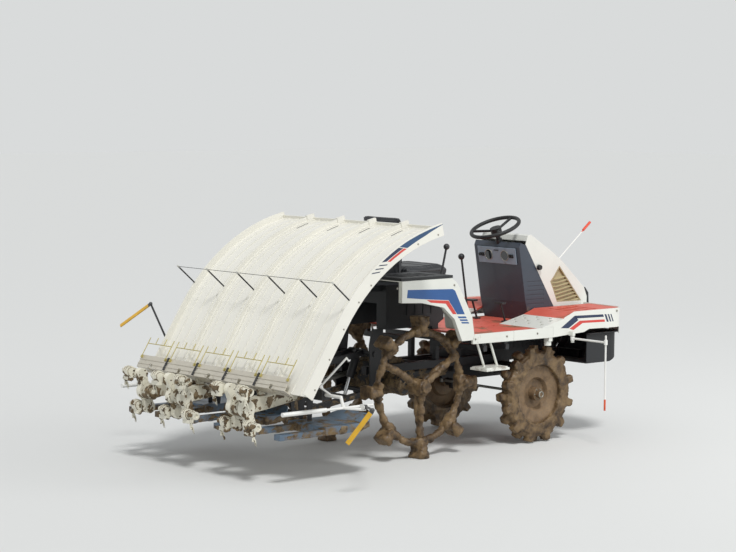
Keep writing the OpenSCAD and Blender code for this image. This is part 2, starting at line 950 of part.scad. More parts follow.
// Rear wheel: a flat-sided rim on three forked spokes, with broad lugs
rim_r = rear_wheel_d / 2 - 100;
lug_w = 104;

// A ring drawn with short straight sides
module ring(outer, inner, sides) {
    difference() {
        polygon([for (i = [0:sides - 1]) outer * [cos(i * 360 / sides), sin(i * 360 / sides)]]);
        polygon([for (i = [0:sides - 1]) inner * [cos(i * 360 / sides), sin(i * 360 / sides)]]);
    }
}

module rear_wheel(side) {
    color(mud)
        translate([0, side * half_track, rear_hub_z])
            rotate([side > 0 ? -90 : 90, 0, 0]) {
                translate([0, 0, -13])
                    linear_extrude(26)
                        ring(rim_r + 12, rim_r - 12, 60);
                for (a = [60, 180, 300])
                    rotate(a - 90 * side)
                        for (z = [-22, 22])
                            spoke([30, 0, z], [rim_r, 0, z * 0.2], 11);
                difference() {
                    union() {
                        translate([0, 0, -52])
                            cylinder(r = 44, h = 104, $fn = 12);
                        translate([0, 0, 50])
                            cylinder(r = 30, h = 26, $fn = 12);
                    }
                    post([0, 0, -53], 20 + pin_gap, 94);
                }
                for (i = [0:rear_lugs - 1])
                    rotate(i * 360 / rear_lugs - 90)
                        rear_lug();
            }
}

// An eight-sided bar from p to q
module spoke(p, q, r) {
    d = q - p;
    translate(p)
        rotate([0, acos(d[2] / norm(d)), atan2(d[1], d[0])])
            cylinder(r = r, h = norm(d), $fn = 8);
}

// One lug, pointing along +X: a foot on the rim and a broad paddle
module rear_lug() {
    tip = rear_wheel_d / 2;
    translate([0, 0, -lug_w / 2])
        linear_extrude(lug_w)
            polygon([[rim_r + 4, -16], [rim_r + 60, -22], [tip - 8, -34], [tip, -26], [tip, 26],
                [tip - 8, 34], [rim_r + 60, 22], [rim_r + 4, 16]]);
    translate([0, 0, -28])
        linear_extrude(56)
            polygon([[rim_r - 20, -46], [rim_r + 8, -52], [rim_r + 30, -12], [rim_r + 30, 12],
                [rim_r + 8, 52], [rim_r - 20, 46]]);
}

// Lift linkage

// A link plate in X and Z from pin a towards the rear, with an eye at each end
module link_plate(a, b, y) {
    difference() {
        union() {
            across(y)
                polygon(link_side(a, b, 18));
            disc_y(a[0], a[1], 26, y);
            disc_y(b[0], b[1], 26, y);
        }
        disc_y(a[0], a[1], link_pin_r + pin_gap, [y[0] - 1, y[1] + 1]);
        disc_y(b[0], b[1], link_pin_r + pin_gap, [y[0] - 1, y[1] + 1]);
    }
}

function link_side(a, b, h) =
    let (u = (b - a) / norm(b - a), n = [-u[1], u[0]])
    [a + h * n, b + h * n, b - h * n, a - h * n];

module lower_links() {
    bar_pt = low_pin + 175 * (hitch_pt - low_pin) / link_len;
    brace_pt = low_pin + 0.7 * (hitch_pt - low_pin);
    color(black) {
        both() {
            link_plate(low_pin, hitch_pt, [low_link_y - link_w / 2, low_link_y + link_w / 2]);
            // Ear that carries the lift cylinder's eye, with its bolt head
            across([14, 24])
                polygon(link_side(eye_pt - [8, -4], bar_pt, 15));
            disc_y(eye_pt[0], eye_pt[1], 15, [14, 24]);
            disc_y(eye_pt[0], eye_pt[1], 9, [23.9, 30]);
        }
        disc_y(bar_pt[0], bar_pt[1], 14, [-low_link_y, low_link_y]);
        disc_y(brace_pt[0], brace_pt[1], 13, [-low_link_y, low_link_y]);
    }
}

module upper_link() {
    rear = up_pin + hitch_pt - low_pin;
    color(black) {
        both()
            link_plate(up_pin, rear, [up_link_y - 12, up_link_y + 12]);
        for (k = [0.4, 0.6])
            disc_y(up_pin[0] + k * (rear - up_pin)[0], up_pin[1] + k * (rear - up_pin)[1], 9,
                [-up_link_y, up_link_y]);
    }
}

// Drive shaft from the rear gear case to the planting section, parallel to the links
module drive_shaft() {
    rear = shaft_front + hitch_pt - low_pin;
    u = (rear - shaft_front) / link_len;
    function at(d) = [shaft_front[0] + d * u[0], shaft_y, shaft_front[1] + d * u[1]];
    color(steel) {
        bar(at(8), at(link_len - 8), 11);
        bar(at(26), at(270), 16);
        for (d = [0, link_len])
            translate(at(d))
                sphere(r = shaft_ball);
    }
}

// The lift cylinder is drawn along +X from its front pin and then turned into place
module at_ram() {
    translate([ram_pin[0], 0, ram_pin[1]])
        rotate([0, -ram_ang, 0])
            children();
}

barrel_end = ram_len - 138;
rod_tail = ram_len - 204;

module lift_barrel() {
    color(black)
        at_ram()
            difference() {
                union() {
                    disc_y(0, 0, 25, [-14, 14]);
                    translate([18, 0, 0])
                        rotate([0, 90, 0])
                            cylinder(r = 26, h = barrel_end - 18);
                }
                disc_y(0, 0, link_pin_r + pin_gap, [-27, 27]);
                translate([32, 0, 0])
                    rotate([0, 90, 0])
                        cylinder(r = 12 + pin_gap, h = barrel_end);
            }
}

module lift_rod() {
    color("silver")
        at_ram() {
            translate([rod_tail, 0, 0])
                rotate([0, 90, 0])
                    cylinder(r = 12, h = ram_len - rod_tail);
            disc_y(ram_len, 0, 14, [-11, 11]);
        }
}

// Planting section. Everything from here on is drawn from the rear lower pin.

module hitch_frame() {
    rise = up_pin[1] - low_pin[1];
    shaft_end = shaft_front - low_pin;
    color(black)
        at_hitch() {
            both() {
                // Outer ear of the lower pin and inner ears of the upper pin
                across([low_link_y + link_w / 2 + 2, low_link_y + link_w / 2 + 14])
                    polygon([[26, -26], [26, 40], [-60, 210], [-120, 210], [-60, -26]]);
                across([up_link_y + 16, up_link_y + 28])
                    polygon([[26, rise - 26], [20, rise + 30], [-60, rise + 30], [-120, cross_pt[1] + 36],
                        [-60, cross_pt[1] + 36]]);
            }
            disc_y(0, 0, link_pin_r, [-low_link_y - 24, low_link_y + 24]);
            disc_y(0, rise, link_pin_r, [-up_link_y - 24, up_link_y + 24]);
            span([-150, -60], [-175, 175], [cross_pt[1] - 24, cross_pt[1] + 40]);
            // Gear case that takes the drive shaft's ball
            span([-150, shaft_end[0] - 26], [10, 112], [shaft_end[1] - 42, cross_pt[1] + 24]);
            difference() {
                translate([shaft_end[0] - 27, shaft_y, shaft_end[1]])
                    rotate([0, 90, 0])
                        cylinder(r = 23, h = 17);
                translate([shaft_end[0], shaft_y, shaft_end[1]])
                    sphere(r = shaft_ball + seat_gap);
            }
        }
}

// Path of the table's upper edge, by distance s from its foot and height h above it
arc_len = table_bend_r * table_bend * PI / 180;
table_len = table_straight + arc_len + 30;
// Straight lengths that the curved part is made of
path_parts = 12;

function path_slope(s) =
    s <= table_straight ? table_slope
    : s >= table_straight + arc_len ? table_slope - table_bend
    : table_slope - (s - table_straight) / table_bend_r * 180 / PI;

function path_pt(s) =
    s <= table_straight ? table_foot + s * [cos(table_slope), sin(table_slope)]
    : s <= table_straight + arc_len ?
        table_foot + table_straight * [cos(table_slope), sin(table_slope)]
        + table_bend_r * [sin(table_slope) - sin(path_slope(s)),
            cos(path_slope(s)) - cos(table_slope)]
    : path_pt(table_straight + arc_len)
        + (s - table_straight - arc_len) * [cos(table_slope - table_bend),
            sin(table_slope - table_bend)];

function path_at(s, h) =
    path_pt(s) + h * [-sin(path_slope(s)), cos(path_slope(s))];

// Distances along the path at which its outline turns
function path_steps(s0, s1) = [
    s0,
    for (i = [0:path_parts])
    let (s = table_straight + arc_len * i / path_parts)
    if (s > s0 + 1 && s < s1 - 1) s,
    s1
];

// The strip between heights h0 and h1, from s0 to s1 along the path
module band(h0, h1, s0 = 0, s1 = table_len) {
    steps = path_steps(s0, s1);
    polygon(concat([for (s = steps) path_at(s, h1)],
        [for (i = [len(steps) - 1:-1:0]) path_at(steps[i], h0)]));
}

// Moves what is drawn to a place on the path, with +X along it and +Z away from it
module at_path(s) {
    p = path_pt(s);
    translate([p[0], 0, p[1]])
        rotate([0, -path_slope(s), 0])
            children();
}

sheet_h = -40;
sheet_t = 6;
beam_s = table_straight + arc_len * 6 / path_parts;
beam_h = -84;

module seedling_table() {
    color(cream)
        at_hitch()
            translate([0, table_offset, 0]) {
                across([-table_w / 2, table_w / 2])
                    band(sheet_h - sheet_t, sheet_h, 2);
                // Side panels, screwed on
                both()
                    across([table_w / 2 + seat_gap, table_w / 2 + 8])
                        band(-side_depth, 0);
                // Dividers between the columns, raised at the top
                for (i = [-1.5:1:1.5]) {
                    across([i * column_w - 5, i * column_w + 5])
                        band(sheet_h - 1, -6, 4);
                    across([i * column_w - 20, i * column_w + 20])
                        band(sheet_h - 2, sheet_h + 9, 7, table_len - 3);
                    across([i * column_w - 9, i * column_w + 9])
                        band(sheet_h - 1, 3, table_len - 64, table_len - 2);
                }
                // Turned-up edge along the top
                across([-table_w / 2 + 2, table_w / 2 - 2])
                    band(sheet_h - 1, sheet_h + 18, table_len - 12, table_len - 1);
                // Low ribs that the mats slide on
                for (i = [-2:2])
                    for (k = [-0.28, 0, 0.28])
                        across([(i + k) * column_w - 4, (i + k) * column_w + 4])
                            band(sheet_h - 1, sheet_h + 5, 4);
                // Slide beam below the sheet
                at_path(beam_s)
                    span([-16, 16], [-table_w / 2 + 4, table_w / 2 - 4], [beam_h, sheet_h - sheet_t + 2]);
                at_path(300)
                    span([-14, 14], [-table_w / 2 + 4, table_w / 2 - 4],
                        [sheet_h - sheet_t - 22, sheet_h - sheet_t + 1]);
            }
}

// Retaining rods that stand on the dividers, joined by a wire
rod_s = table_straight + arc_len * 2 / path_parts;

module table_rods() {
    color(black)
        at_hitch()
            translate([0, table_offset, 0])
                at_path(rod_s) {
                    for (i = [-1.5:1:1.5])
                        post([0, i * column_w, -5.7], 4.6, 180);
                    both()
                        post([0, 2.5 * column_w, 0.3], 4.6, 174);
                    disc_y(0, 166, 1.6, [-table_w / 2, table_w / 2]);
                }
}

// Aluminium rail at the foot of the table, notched for each row's claw
rail_lift = 8;
notch_w = 30;
// Half the width of a row's wire comb
comb_half = 125;
rail_half = 2 * row_pitch + comb_half + 10;
rail_t = 6;

module seedling_rail() {
    color("#b9bcbd")
        at_hitch() {
            difference() {
                at_path(0)
                    across([-rail_half, rail_half])
                        polygon([[-slide_gap - rail_t, -62], [-slide_gap, -62], [-slide_gap, rail_lift],
                            [78, rail_lift], [78, rail_lift + rail_t], [52, rail_lift + rail_t],
                            [52, rail_lift + 10], [46, rail_lift + 10], [46, rail_lift + rail_t],
                            [22, rail_lift + rail_t], [22, rail_lift + 10], [16, rail_lift + 10],
                            [16, rail_lift + rail_t], [-slide_gap - rail_t, rail_lift + rail_t]]);
                for (y = rows_y)
                    at_path(0)
                        span([-8, 24], [y - notch_w / 2, y + notch_w / 2], [-30, rail_lift + 12]);
            }
            // Clips that join its segments
            for (i = [-1.5:1:1.5])
                at_path(0)
                    span([-10, 80], [i * row_pitch - 7, i * row_pitch + 7],
                        [rail_lift + 5.9, rail_lift + 13]);
        }
}

// Wire combs that hold the seedling mats down, one to each row
module press_wires() {
    wire_r = 2.6;
    half = comb_half;
    color("#c9c08a")
        at_hitch()
            for (y = rows_y)
                at_path(0) {
                    h = rail_lift + 13;
                    for (s = [-1, 1]) {
                        bar([66, y + s * half, h], [196, y + s * half, h], wire_r);
                        bar([154, y + s * 45, h], [200, y + s * 45, h], wire_r);
                        span([56, 72], [y + s * half - 6, y + s * half + 6],
                            [rail_lift + 6 + seat_gap, h + 3]);
                    }
                    bar([156, y - half, h], [156, y + half, h], wire_r);
                }
}

// A point on the axis of the table's post at y, by its share k of the post's length
function post_at(k, y) =
    let (foot = cross_pt + [0, 20], top = path_at(beam_s, beam_h - 40), p = foot + k * (top - foot))
    [p[0], y, p[1]];

module planting_frame() {
    post_y = 330;
    color(black)
        at_hitch() {
            // Cross tube
            span([cross_pt[0] - 32, cross_pt[0] + 32], [-640, 640], [cross_pt[1] - 32, cross_pt[1] + 32]);
            span([cross_pt[0] + 20, -150 - seat_gap], [-150, 150], [cross_pt[1] - 20, cross_pt[1] + 20]);
            // Posts up to the table's slide beam
            both() {
                bar(post_at(0, post_y), post_at(1, post_y), 17);
                at_path(beam_s)
                    span([-30, 30], [post_y - 30, post_y + 30], [beam_h - 60, beam_h - slide_gap]);
                bar(post_at(0, post_y - 180), post_at(0.38, post_y), 10);
            }
            bar(post_at(0.56, -post_y), post_at(0.56, post_y), 12);
            // Float hangers
            for (y = [-1.5, 0, 1.5])
                for (s = [-1, 1])
                    across([y * row_pitch + s * 40 - 4, y * row_pitch + s * 40 + 4])
                        polygon([[cross_pt[0] - 26, cross_pt[1] - 31],
                            [cross_pt[0] + 26, cross_pt[1] - 31],
                            [cross_pt[0] + 14, float_z + 50 + seat_gap],
                            [cross_pt[0] - 14, float_z + 50 + seat_gap]]);
        }
}

// Planting cases: chain cases from the cross tube back to the rotors' axles
module planting_cases() {
    color("#b8b29c")
        at_hitch()
            for (c = cases)
                difference() {
                    union() {
                        across([c[0] - case_w / 2, c[0] + case_w / 2])
                            polygon([[cross_pt[0] - 32 - seat_gap, cross_pt[1] - 30],
                                [cross_pt[0] - 32 - seat_gap, cross_pt[1] + 44],
                                [cross_pt[0] - 120, cross_pt[1] + 40],
                                [table_foot[0] + 100, cross_pt[1] + 6],
                                [table_foot[0] + 20, cross_pt[1] + 6],
                                [rotor_pt[0] - 4, rotor_pt[1] + 40], [rotor_pt[0] - 4, rotor_pt[1] - 40],
                                [table_foot[0] + 60, cross_pt[1] - 76]]);
                        disc_y(rotor_pt[0], rotor_pt[1], 46,
                            [c[0] - case_w / 2, c[0] + case_w / 2]);
                        // Bracket up to the rail
                        across([c[0] - 12, c[0] + 12])
                            polygon([[table_foot[0] + 24, cross_pt[1] + 5],
                                [table_foot[0] + 88, cross_pt[1] + 5],
                                path_at(-slide_gap - rail_t - seat_gap, -60),
                                path_at(-slide_gap - rail_t - seat_gap, -20)]);
                    }
                    disc_y(rotor_pt[0], rotor_pt[1], 15 + pin_gap,
                        [c[0] - case_w, c[0] + case_w]);
                }
}

// A rotor's place is turned with the phase that the machine was parked at
module at_rotor() {
    translate([hitch_pt[0] + rotor_pt[0], 0, hitch_pt[1] + rotor_pt[1]])
        rotate([0, -rotor_phase, 0])
            children();
}

module planting_rotors() {
    color(cream)
        at_rotor()
            for (c = cases) {
                ends = [for (s = c[1]) c[0] + s * (case_w / 2 + rotor_gap + rotor_t)];
                low = len(ends) > 1 ? ends[0] : c[0] - case_w / 2 - 4;
                disc_y(0, 0, 15, [low, ends[len(ends) - 1]]);
                for (s = c[1]) {
                    y0 = c[0] + s * (case_w / 2 + rotor_gap + rotor_t / 2);
                    rotor([y0 - rotor_t / 2, y0 + rotor_t / 2]);
                    for (e = [-1, 1])
                        disc_y(e * rotor_r, 0, 11,
                            s > 0 ? [y0, y0 + rotor_t / 2 + arm_gap + arm_t - 6]
                            : [y0 - rotor_t / 2 - arm_gap - arm_t + 6, y0]);
                }
            }
}

module rotor(y) {
    across(y)
        polygon([[-rotor_r, 33], [-rotor_r / 2, 26], [0, 46], [rotor_r / 2, 26], [rotor_r, 33],
            [rotor_r, -33], [rotor_r / 2, -26], [0, -46], [-rotor_r / 2, -26], [-rotor_r, -33]]);
    for (x = [-rotor_r, rotor_r])
        disc_y(x, 0, 36, y);
    disc_y(0, 0, 50, y);
    // Domed covers, inside the width that the arms leave free
    for (x = [-rotor_r / 2, rotor_r / 2])
        disc_y(x, 0, 20, [y[0] - 3, y[1] + 3]);
}

// Planting arms keep their attitude as the rotors turn, so each is drawn upright
// and moved to its end of the rotor.
module planting_arms(end) {
    color(cream)
        for (c = cases)
            for (s = c[1]) {
                in = c[0] + s * (case_w / 2 + rotor_gap + rotor_t + arm_gap);
                out = in + s * arm_t;
                translate([hitch_pt[0] + rotor_pt[0] + end * rotor_r * cos(rotor_phase), 0,
                    hitch_pt[1] + rotor_pt[1] + end * rotor_r * sin(rotor_phase)])
                    planting_arm([min(in, out), max(in, out)], s);
            }
}

// One arm: a cast case with a domed cover, a claw and its push rod
module planting_arm(y, s) {
    // The claw runs on the middle of its row
    claw = row_pitch / 2 - case_w / 2 - rotor_gap - rotor_t - arm_gap - arm_t;
    claw_y = s > 0 ? y[1] + claw : y[0] - claw;
    tine_y = [claw_y - 7, claw_y + 7];
    reach = [min(y[0], tine_y[0]), max(y[1], tine_y[1])];
    mid = (y[0] + y[1]) / 2;
    difference() {
        union() {
            across([mid - arm_t / 2 + 6, mid + arm_t / 2 - 6])
                polygon([[8, 22], [-52, 46], [-72, 40], [-84, 22], [-80, -2], [-64, -22], [-34, -30],
                    [6, -24], [22, -10], [22, 10]]);
            across(y)
                polygon([[2, 16], [-50, 38], [-68, 33], [-77, 20], [-73, 0], [-60, -16], [-34, -23],
                    [2, -18]]);
            disc_y(0, 0, 25, y);
            // Ribs along the case
            for (k = [-16, 0, 16])
                across([mid + k - 2, mid + k + 2])
                    polygon([[0, 24], [-50, 49], [-76, 43], [-87, 22], [-70, 20], [0, 8]]);
        }
        disc_y(0, 0, 11 + pin_gap, [y[0] - 1, y[1] + 1]);
    }
    // Claw holder, push rod and the two tines of the claw
    span([-66, -38], reach, [-40, -16]);
    span([-72, -44], reach, [8, 30]);
    disc_y(-58, 19, 14, [claw_y - 9, claw_y + 9]);
    disc_y(-52, -28, 11, [claw_y - 9, claw_y + 9]);
    bar([-58, claw_y, 22], [-51, claw_y, -61], 4.8);
    for (k = [0, 10])
        across([tine_y[0] + k, tine_y[0] + k + 4])
            polygon([[-62, -36], [-50, -36], [-34, -70], [-30, -104], [-40, -74]]);
    span([-58, -44], [tine_y[0] + 4, tine_y[1] - 4], [-74, -38]);
}

// Floats: a broad nose that turns up, and narrow tails between the rows
// Columns: middle, half width and front end of the nose, and the tails' places in rows
floats_t = [
    [-585, 175, 94, [-1.5, -2.42]],
    [0, 205, -90, [-0.5, 0.5]],
    [585, 175, 94, [1.5, 2.42]]
];

module floats() {
    tail_x = floats_t[0][2] - float_len;
    wide_x = cross_pt[0] - 100;
    color(black)
        at_hitch()
            for (f = floats_t) {
                nose_x = f[2];
                intersection() {
                    across([f[0] - f[1], f[0] + f[1]])
                        polygon([[wide_x, float_z], [nose_x - 140, float_z], [nose_x - 50, float_z + 26],
                            [nose_x, float_z + 78], [nose_x - 16, float_z + 92],
                            [nose_x - 96, float_z + 50], [wide_x, float_z + 50]]);
                    translate([0, f[0], float_z - 1])
                        linear_extrude(120)
                            polygon([[wide_x, f[1]], [nose_x - 60, f[1]], [nose_x, f[1] - 60],
                                [nose_x, -f[1] + 60], [nose_x - 60, -f[1]], [wide_x, -f[1]]]);
                }
                for (t = f[3])
                    span([tail_x, wide_x + 1], [t * row_pitch - 28, t * row_pitch + 28],
                        [float_z, float_z + 34]);
            }
}

// White guard bars beside the outer planting arms
module side_guards() {
    rear = -668;
    front = 24;
    color(white)
        at_hitch() {
            // Handle with a hooked end, on the right only
            bent_bar([[cross_pt[0], -700, cross_pt[1]], [-302, -700, 246], [-98, -700, 402],
                [-82, -700, 384]], 6);
            both() {
                bar([rear, guard_y, guard_z], [rear + 330, guard_y, guard_z], 13);
                bar([rear + 300, guard_y, guard_z], [front, guard_y, guard_z], 8);
                bar([cross_pt[0], 640 + seat_gap, cross_pt[1]], [cross_pt[0], guard_y - 20, cross_pt[1]],
                    11);
                bar([cross_pt[0], guard_y - 24, cross_pt[1] + 6], [cross_pt[0], guard_y + 2, guard_z - 2],
                    10);
                // Arm and ears that carry the line marker, on a toed-in axis
                bar([cross_pt[0], guard_y, guard_z], [marker_pt[0] - 14, marker_y - 18, guard_z - 4], 9);
                translate([marker_pt[0], marker_y, marker_pt[1]])
                    rotate([0, 0, marker_toe]) {
                        span([-16, 16], [-34, -18], [-24, 14]);
                        for (x = [-16, 10]) {
                            span([x, x + 6], [-19, 0], [-12, 12]);
                            translate([x, 0, 0])
                                rotate([0, 90, 0])
                                    cylinder(r = 12, h = 6);
                        }
                        rotate([0, 90, 0])
                            post([0, 0, -16], 7, 32);
                    }
            }
        }
}

// Line marker: an arm swept back and out, with a trailing blade. It is drawn lowered on
// the left, raised about its pivot, and mirrored for the right.
marker_reach = [-324, 432, 61];
marker_blade = [-80, -124, -199];

module line_marker(side, raised) {
    color(steel)
        at_hitch()
            mirror([0, side < 0 ? 1 : 0, 0])
                translate([marker_pt[0], marker_y, marker_pt[1]])
                    rotate([0, 0, marker_toe])
                        rotate([raised, 0, 0]) {
                            difference() {
                                union() {
                                    translate([-9, 0, 0])
                                        rotate([0, 90, 0])
                                            cylinder(r = 14, h = 18);
                                    rotate([0, 0, -marker_toe])
                                        bar([2, 12, 1], marker_reach, 6.5);
                                }
                                translate([-10, 0, 0])
                                    rotate([0, 90, 0])
                                        cylinder(r = 7 + pin_gap, h = 20);
                            }
                            rotate([0, 0, -marker_toe])
                                marker_tip();
                        }
}

// The ball at the arm's end and the flat blade that hangs from it
module marker_tip() {
    d = marker_blade;
    translate(marker_reach) {
        sphere(r = 12);
        rotate([0, acos(d[2] / norm(d)), atan2(d[1], d[0])])
            translate([-14, -3, 6])
                cube([28, 6, norm(d) - 6]);
    }
}

// Folding marker beside the front fender, hanging over the next planted row
module side_marker(side) {
    end_y = side_marker_y + side_marker_reach;
    color(white)
        mirror([0, side < 0 ? 1 : 0, 0]) {
            difference() {
                union() {
                    post([side_marker_x, side_marker_y, side_marker_z - 14], 14, 28);
                    bar([side_marker_x, side_marker_y + 10, side_marker_z],
                        [side_marker_x, end_y, side_marker_z], 7);
                }
                post([side_marker_x, side_marker_y, side_marker_z - 15], 7 + pin_gap, 30);
            }
            post([side_marker_x, end_y, 245], 6, side_marker_z - 200);
            post([side_marker_x, end_y, side_marker_z - 16], 12, 32);
        }
}

main_frame();
lift_brackets();
bonnet_brackets();
engine();
engine_covers();
transmission_case();
rear_axle_case();
front_undertray();
floor_panels();
side_skirts();
front_fenders();
rear_fenders();
rear_deck();
seat_plinth();
seat_cushion();
seat_back();
dash_cover();
steering_column();
boarding_steps();
levers();
bonnet();
louvre_panels();
nose_grille();
centre_pole();
steering_wheel();
knuckle(1);  // knuckle_left
knuckle(-1);  // knuckle_right
tie_rod();
front_tyre(1);  // front_tyre_left
front_tyre(-1);  // front_tyre_right
front_rim(1);  // front_rim_left
front_rim(-1);  // front_rim_right
rear_wheel(1);  // rear_wheel_left
rear_wheel(-1);  // rear_wheel_right
lower_links();
upper_link();
drive_shaft();
lift_barrel();
lift_rod();
hitch_frame();
planting_frame();
planting_cases();
floats();
seedling_rail();
press_wires();
side_guards();
seedling_table();
table_rods();
planting_rotors();
planting_arms(1);  // planting_arms_a
planting_arms(-1);  // planting_arms_b
line_marker(1, marker_up);  // line_marker_left
line_marker(-1, 0);  // line_marker_right
side_marker(1);  // side_marker_left
side_marker(-1);  // side_marker_right
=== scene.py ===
import math

import bmesh
import bpy
from mathutils import Matrix, Vector, noise
from mathutils.bvhtree import BVHTree


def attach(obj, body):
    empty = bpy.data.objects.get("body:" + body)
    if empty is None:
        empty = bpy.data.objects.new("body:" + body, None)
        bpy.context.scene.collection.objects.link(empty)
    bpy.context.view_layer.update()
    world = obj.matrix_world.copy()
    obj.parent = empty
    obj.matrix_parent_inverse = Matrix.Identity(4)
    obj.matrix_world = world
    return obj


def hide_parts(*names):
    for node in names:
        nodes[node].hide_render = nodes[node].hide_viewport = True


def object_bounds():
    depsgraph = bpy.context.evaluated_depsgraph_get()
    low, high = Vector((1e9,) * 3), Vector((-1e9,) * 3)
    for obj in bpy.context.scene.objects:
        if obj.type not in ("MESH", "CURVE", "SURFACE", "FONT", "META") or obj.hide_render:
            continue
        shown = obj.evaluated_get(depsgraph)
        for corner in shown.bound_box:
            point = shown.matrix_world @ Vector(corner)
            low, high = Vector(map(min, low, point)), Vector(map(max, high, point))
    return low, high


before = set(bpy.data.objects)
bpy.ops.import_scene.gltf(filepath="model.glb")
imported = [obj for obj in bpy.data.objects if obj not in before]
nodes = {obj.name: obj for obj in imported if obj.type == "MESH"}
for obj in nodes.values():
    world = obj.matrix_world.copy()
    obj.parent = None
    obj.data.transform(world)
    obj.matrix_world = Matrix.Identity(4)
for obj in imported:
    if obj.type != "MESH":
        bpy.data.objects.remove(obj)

# Everything is in metres, in the frame of the CAD part: +X forward, +Y left, +Z up.
cad_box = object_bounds()
scene = bpy.context.scene

# Camera: the photograph's place, direction and field of view

EYE = Vector((-9.170, -10.383, 2.273))
YAW = math.radians(41.32)
PITCH = math.radians(4.76)
ROLL = math.radians(0.45)
FOCAL_PIXELS = 2168
PHOTO_WIDTH = 736
SENSOR_WIDTH = 36.0
CLIP_END = 200

ahead = Vector((math.sin(YAW) * math.cos(PITCH), math.cos(YAW) * math.cos(PITCH),
                -math.sin(PITCH)))
right = ahead.cross(Vector((0, 0, 1))).normalized()
up = right.cross(ahead)
right, up = (
    math.cos(ROLL) * right + math.sin(ROLL) * up,
    math.cos(ROLL) * up - math.sin(ROLL) * right,
)
lens = bpy.data.cameras.new("camera")
lens.sensor_width = SENSOR_WIDTH
lens.lens = lens.sensor_width * FOCAL_PIXELS / PHOTO_WIDTH
lens.clip_end = CLIP_END
camera = bpy.data.objects.new("camera", lens)
facing = Matrix((right, up, -ahead)).transposed().to_4x4()
camera.matrix_world = Matrix.Translation(EYE) @ facing
scene.collection.objects.link(camera)
scene.camera = camera

# Shader helpers


def linear(colour):
    """The linear RGBA of an sRGB hex colour."""
    parts = [int(colour[i:i + 2], 16) / 255 for i in (1, 3, 5)]
    return (*(c / 12.92 if c <= 0.04045 else ((c + 0.055) / 1.055) ** 2.4 for c in parts), 1.0)


def add(tree, kind, inputs=None, **settings):
    """Adds one shader node with its settings, its values and its links."""
    made = tree.nodes.new("ShaderNode" + kind)
    for key, value in settings.items():
        setattr(made, key, value)
    for key, value in (inputs or {}).items():
        if isinstance(value, bpy.types.NodeSocket):
            tree.links.new(value, made.inputs[key])
        else:
            made.inputs[key].default_value = value
    return made


def new_material(name):
    """An empty material with a Principled shader: its tree, its shader and its Object place."""
    material = bpy.data.materials.new(name)
    material.use_nodes = True
    tree = material.node_tree
    tree.nodes.clear()
    shader = add(tree, "BsdfPrincipled")
    add(tree, "OutputMaterial", {"Surface": shader.outputs[0]})
    place = add(tree, "TexCoord").outputs["Object"]
    return material, tree, shader, place


# Mud of the paddy, from wet to dry, and the film it leaves on paint
MUD_WET = "#2e2317"
MUD_MID = "#5b462d"
MUD_DRY = "#8b7350"
STAIN = "#7a6748"
STAIN_ROUGHNESS = 0.85
STAIN_DEPTH = 0.0012
# Blotches in the stain are about 45 mm apart, and chips in worn paint about 17 mm
STAIN_BLOTCHES = 22.0
PAINT_CHIPS = 60.0
# The colour changes over 2 mm where a tip begins
TIP_BLUR = 0.002


def drifting(tree, place, colour, shade, patch):
    """A colour that drifts towards `shade` of itself over patches, `patch` to the metre."""
    broad = add(tree, "TexNoise", {"Vector": place, "Scale": patch, "Detail": 5.0,
                                   "Roughness": 0.6})
    drift = add(tree, "MapRange", {0: broad.outputs[0], 1: 0.35, 2: 0.65})
    full = linear(colour)
    dim = (*(c * shade for c in full[:3]), 1.0)
    return add(tree, "Mix", {0: drift.outputs[0], 6: dim, 7: full}, data_type="RGBA").outputs[2]


def tipped(tree, apart, paint, axis, start, colour):
    """The paint, with another colour beyond a place on one axis."""
    beyond = add(tree, "MapRange", {0: apart.outputs[axis], 1: start, 2: start + TIP_BLUR})
    return add(tree, "Mix", {0: beyond.outputs[0], 6: paint, 7: linear(colour)},
               data_type="RGBA").outputs[2]


def rubbed(tree, place, normal, paint, colour, share):
    """The paint, chipped off along its edges, where the rounded normal leaves the flat one."""
    flat = add(tree, "NewGeometry").outputs["Normal"]
    facing = add(tree, "VectorMath", {0: normal, 1: flat}, operation="DOT_PRODUCT")
    rim = add(tree, "MapRange", {0: facing.outputs["Value"], 1: 0.985, 2: 0.9})
    chips = add(tree, "TexNoise", {"Vector": place, "Scale": PAINT_CHIPS, "Detail": 4.0})
    chipped = add(tree, "MapRange", {0: chips.outputs[0], 1: 0.62 - 0.2 * share,
                                     2: 0.66 - 0.2 * share})
    worn = add(tree, "Math", {0: rim.outputs[0], 1: chipped.outputs[0]}, operation="MULTIPLY")
    return add(tree, "Mix", {0: worn.outputs[0], 6: paint, 7: linear(colour)},
               data_type="RGBA").outputs[2]


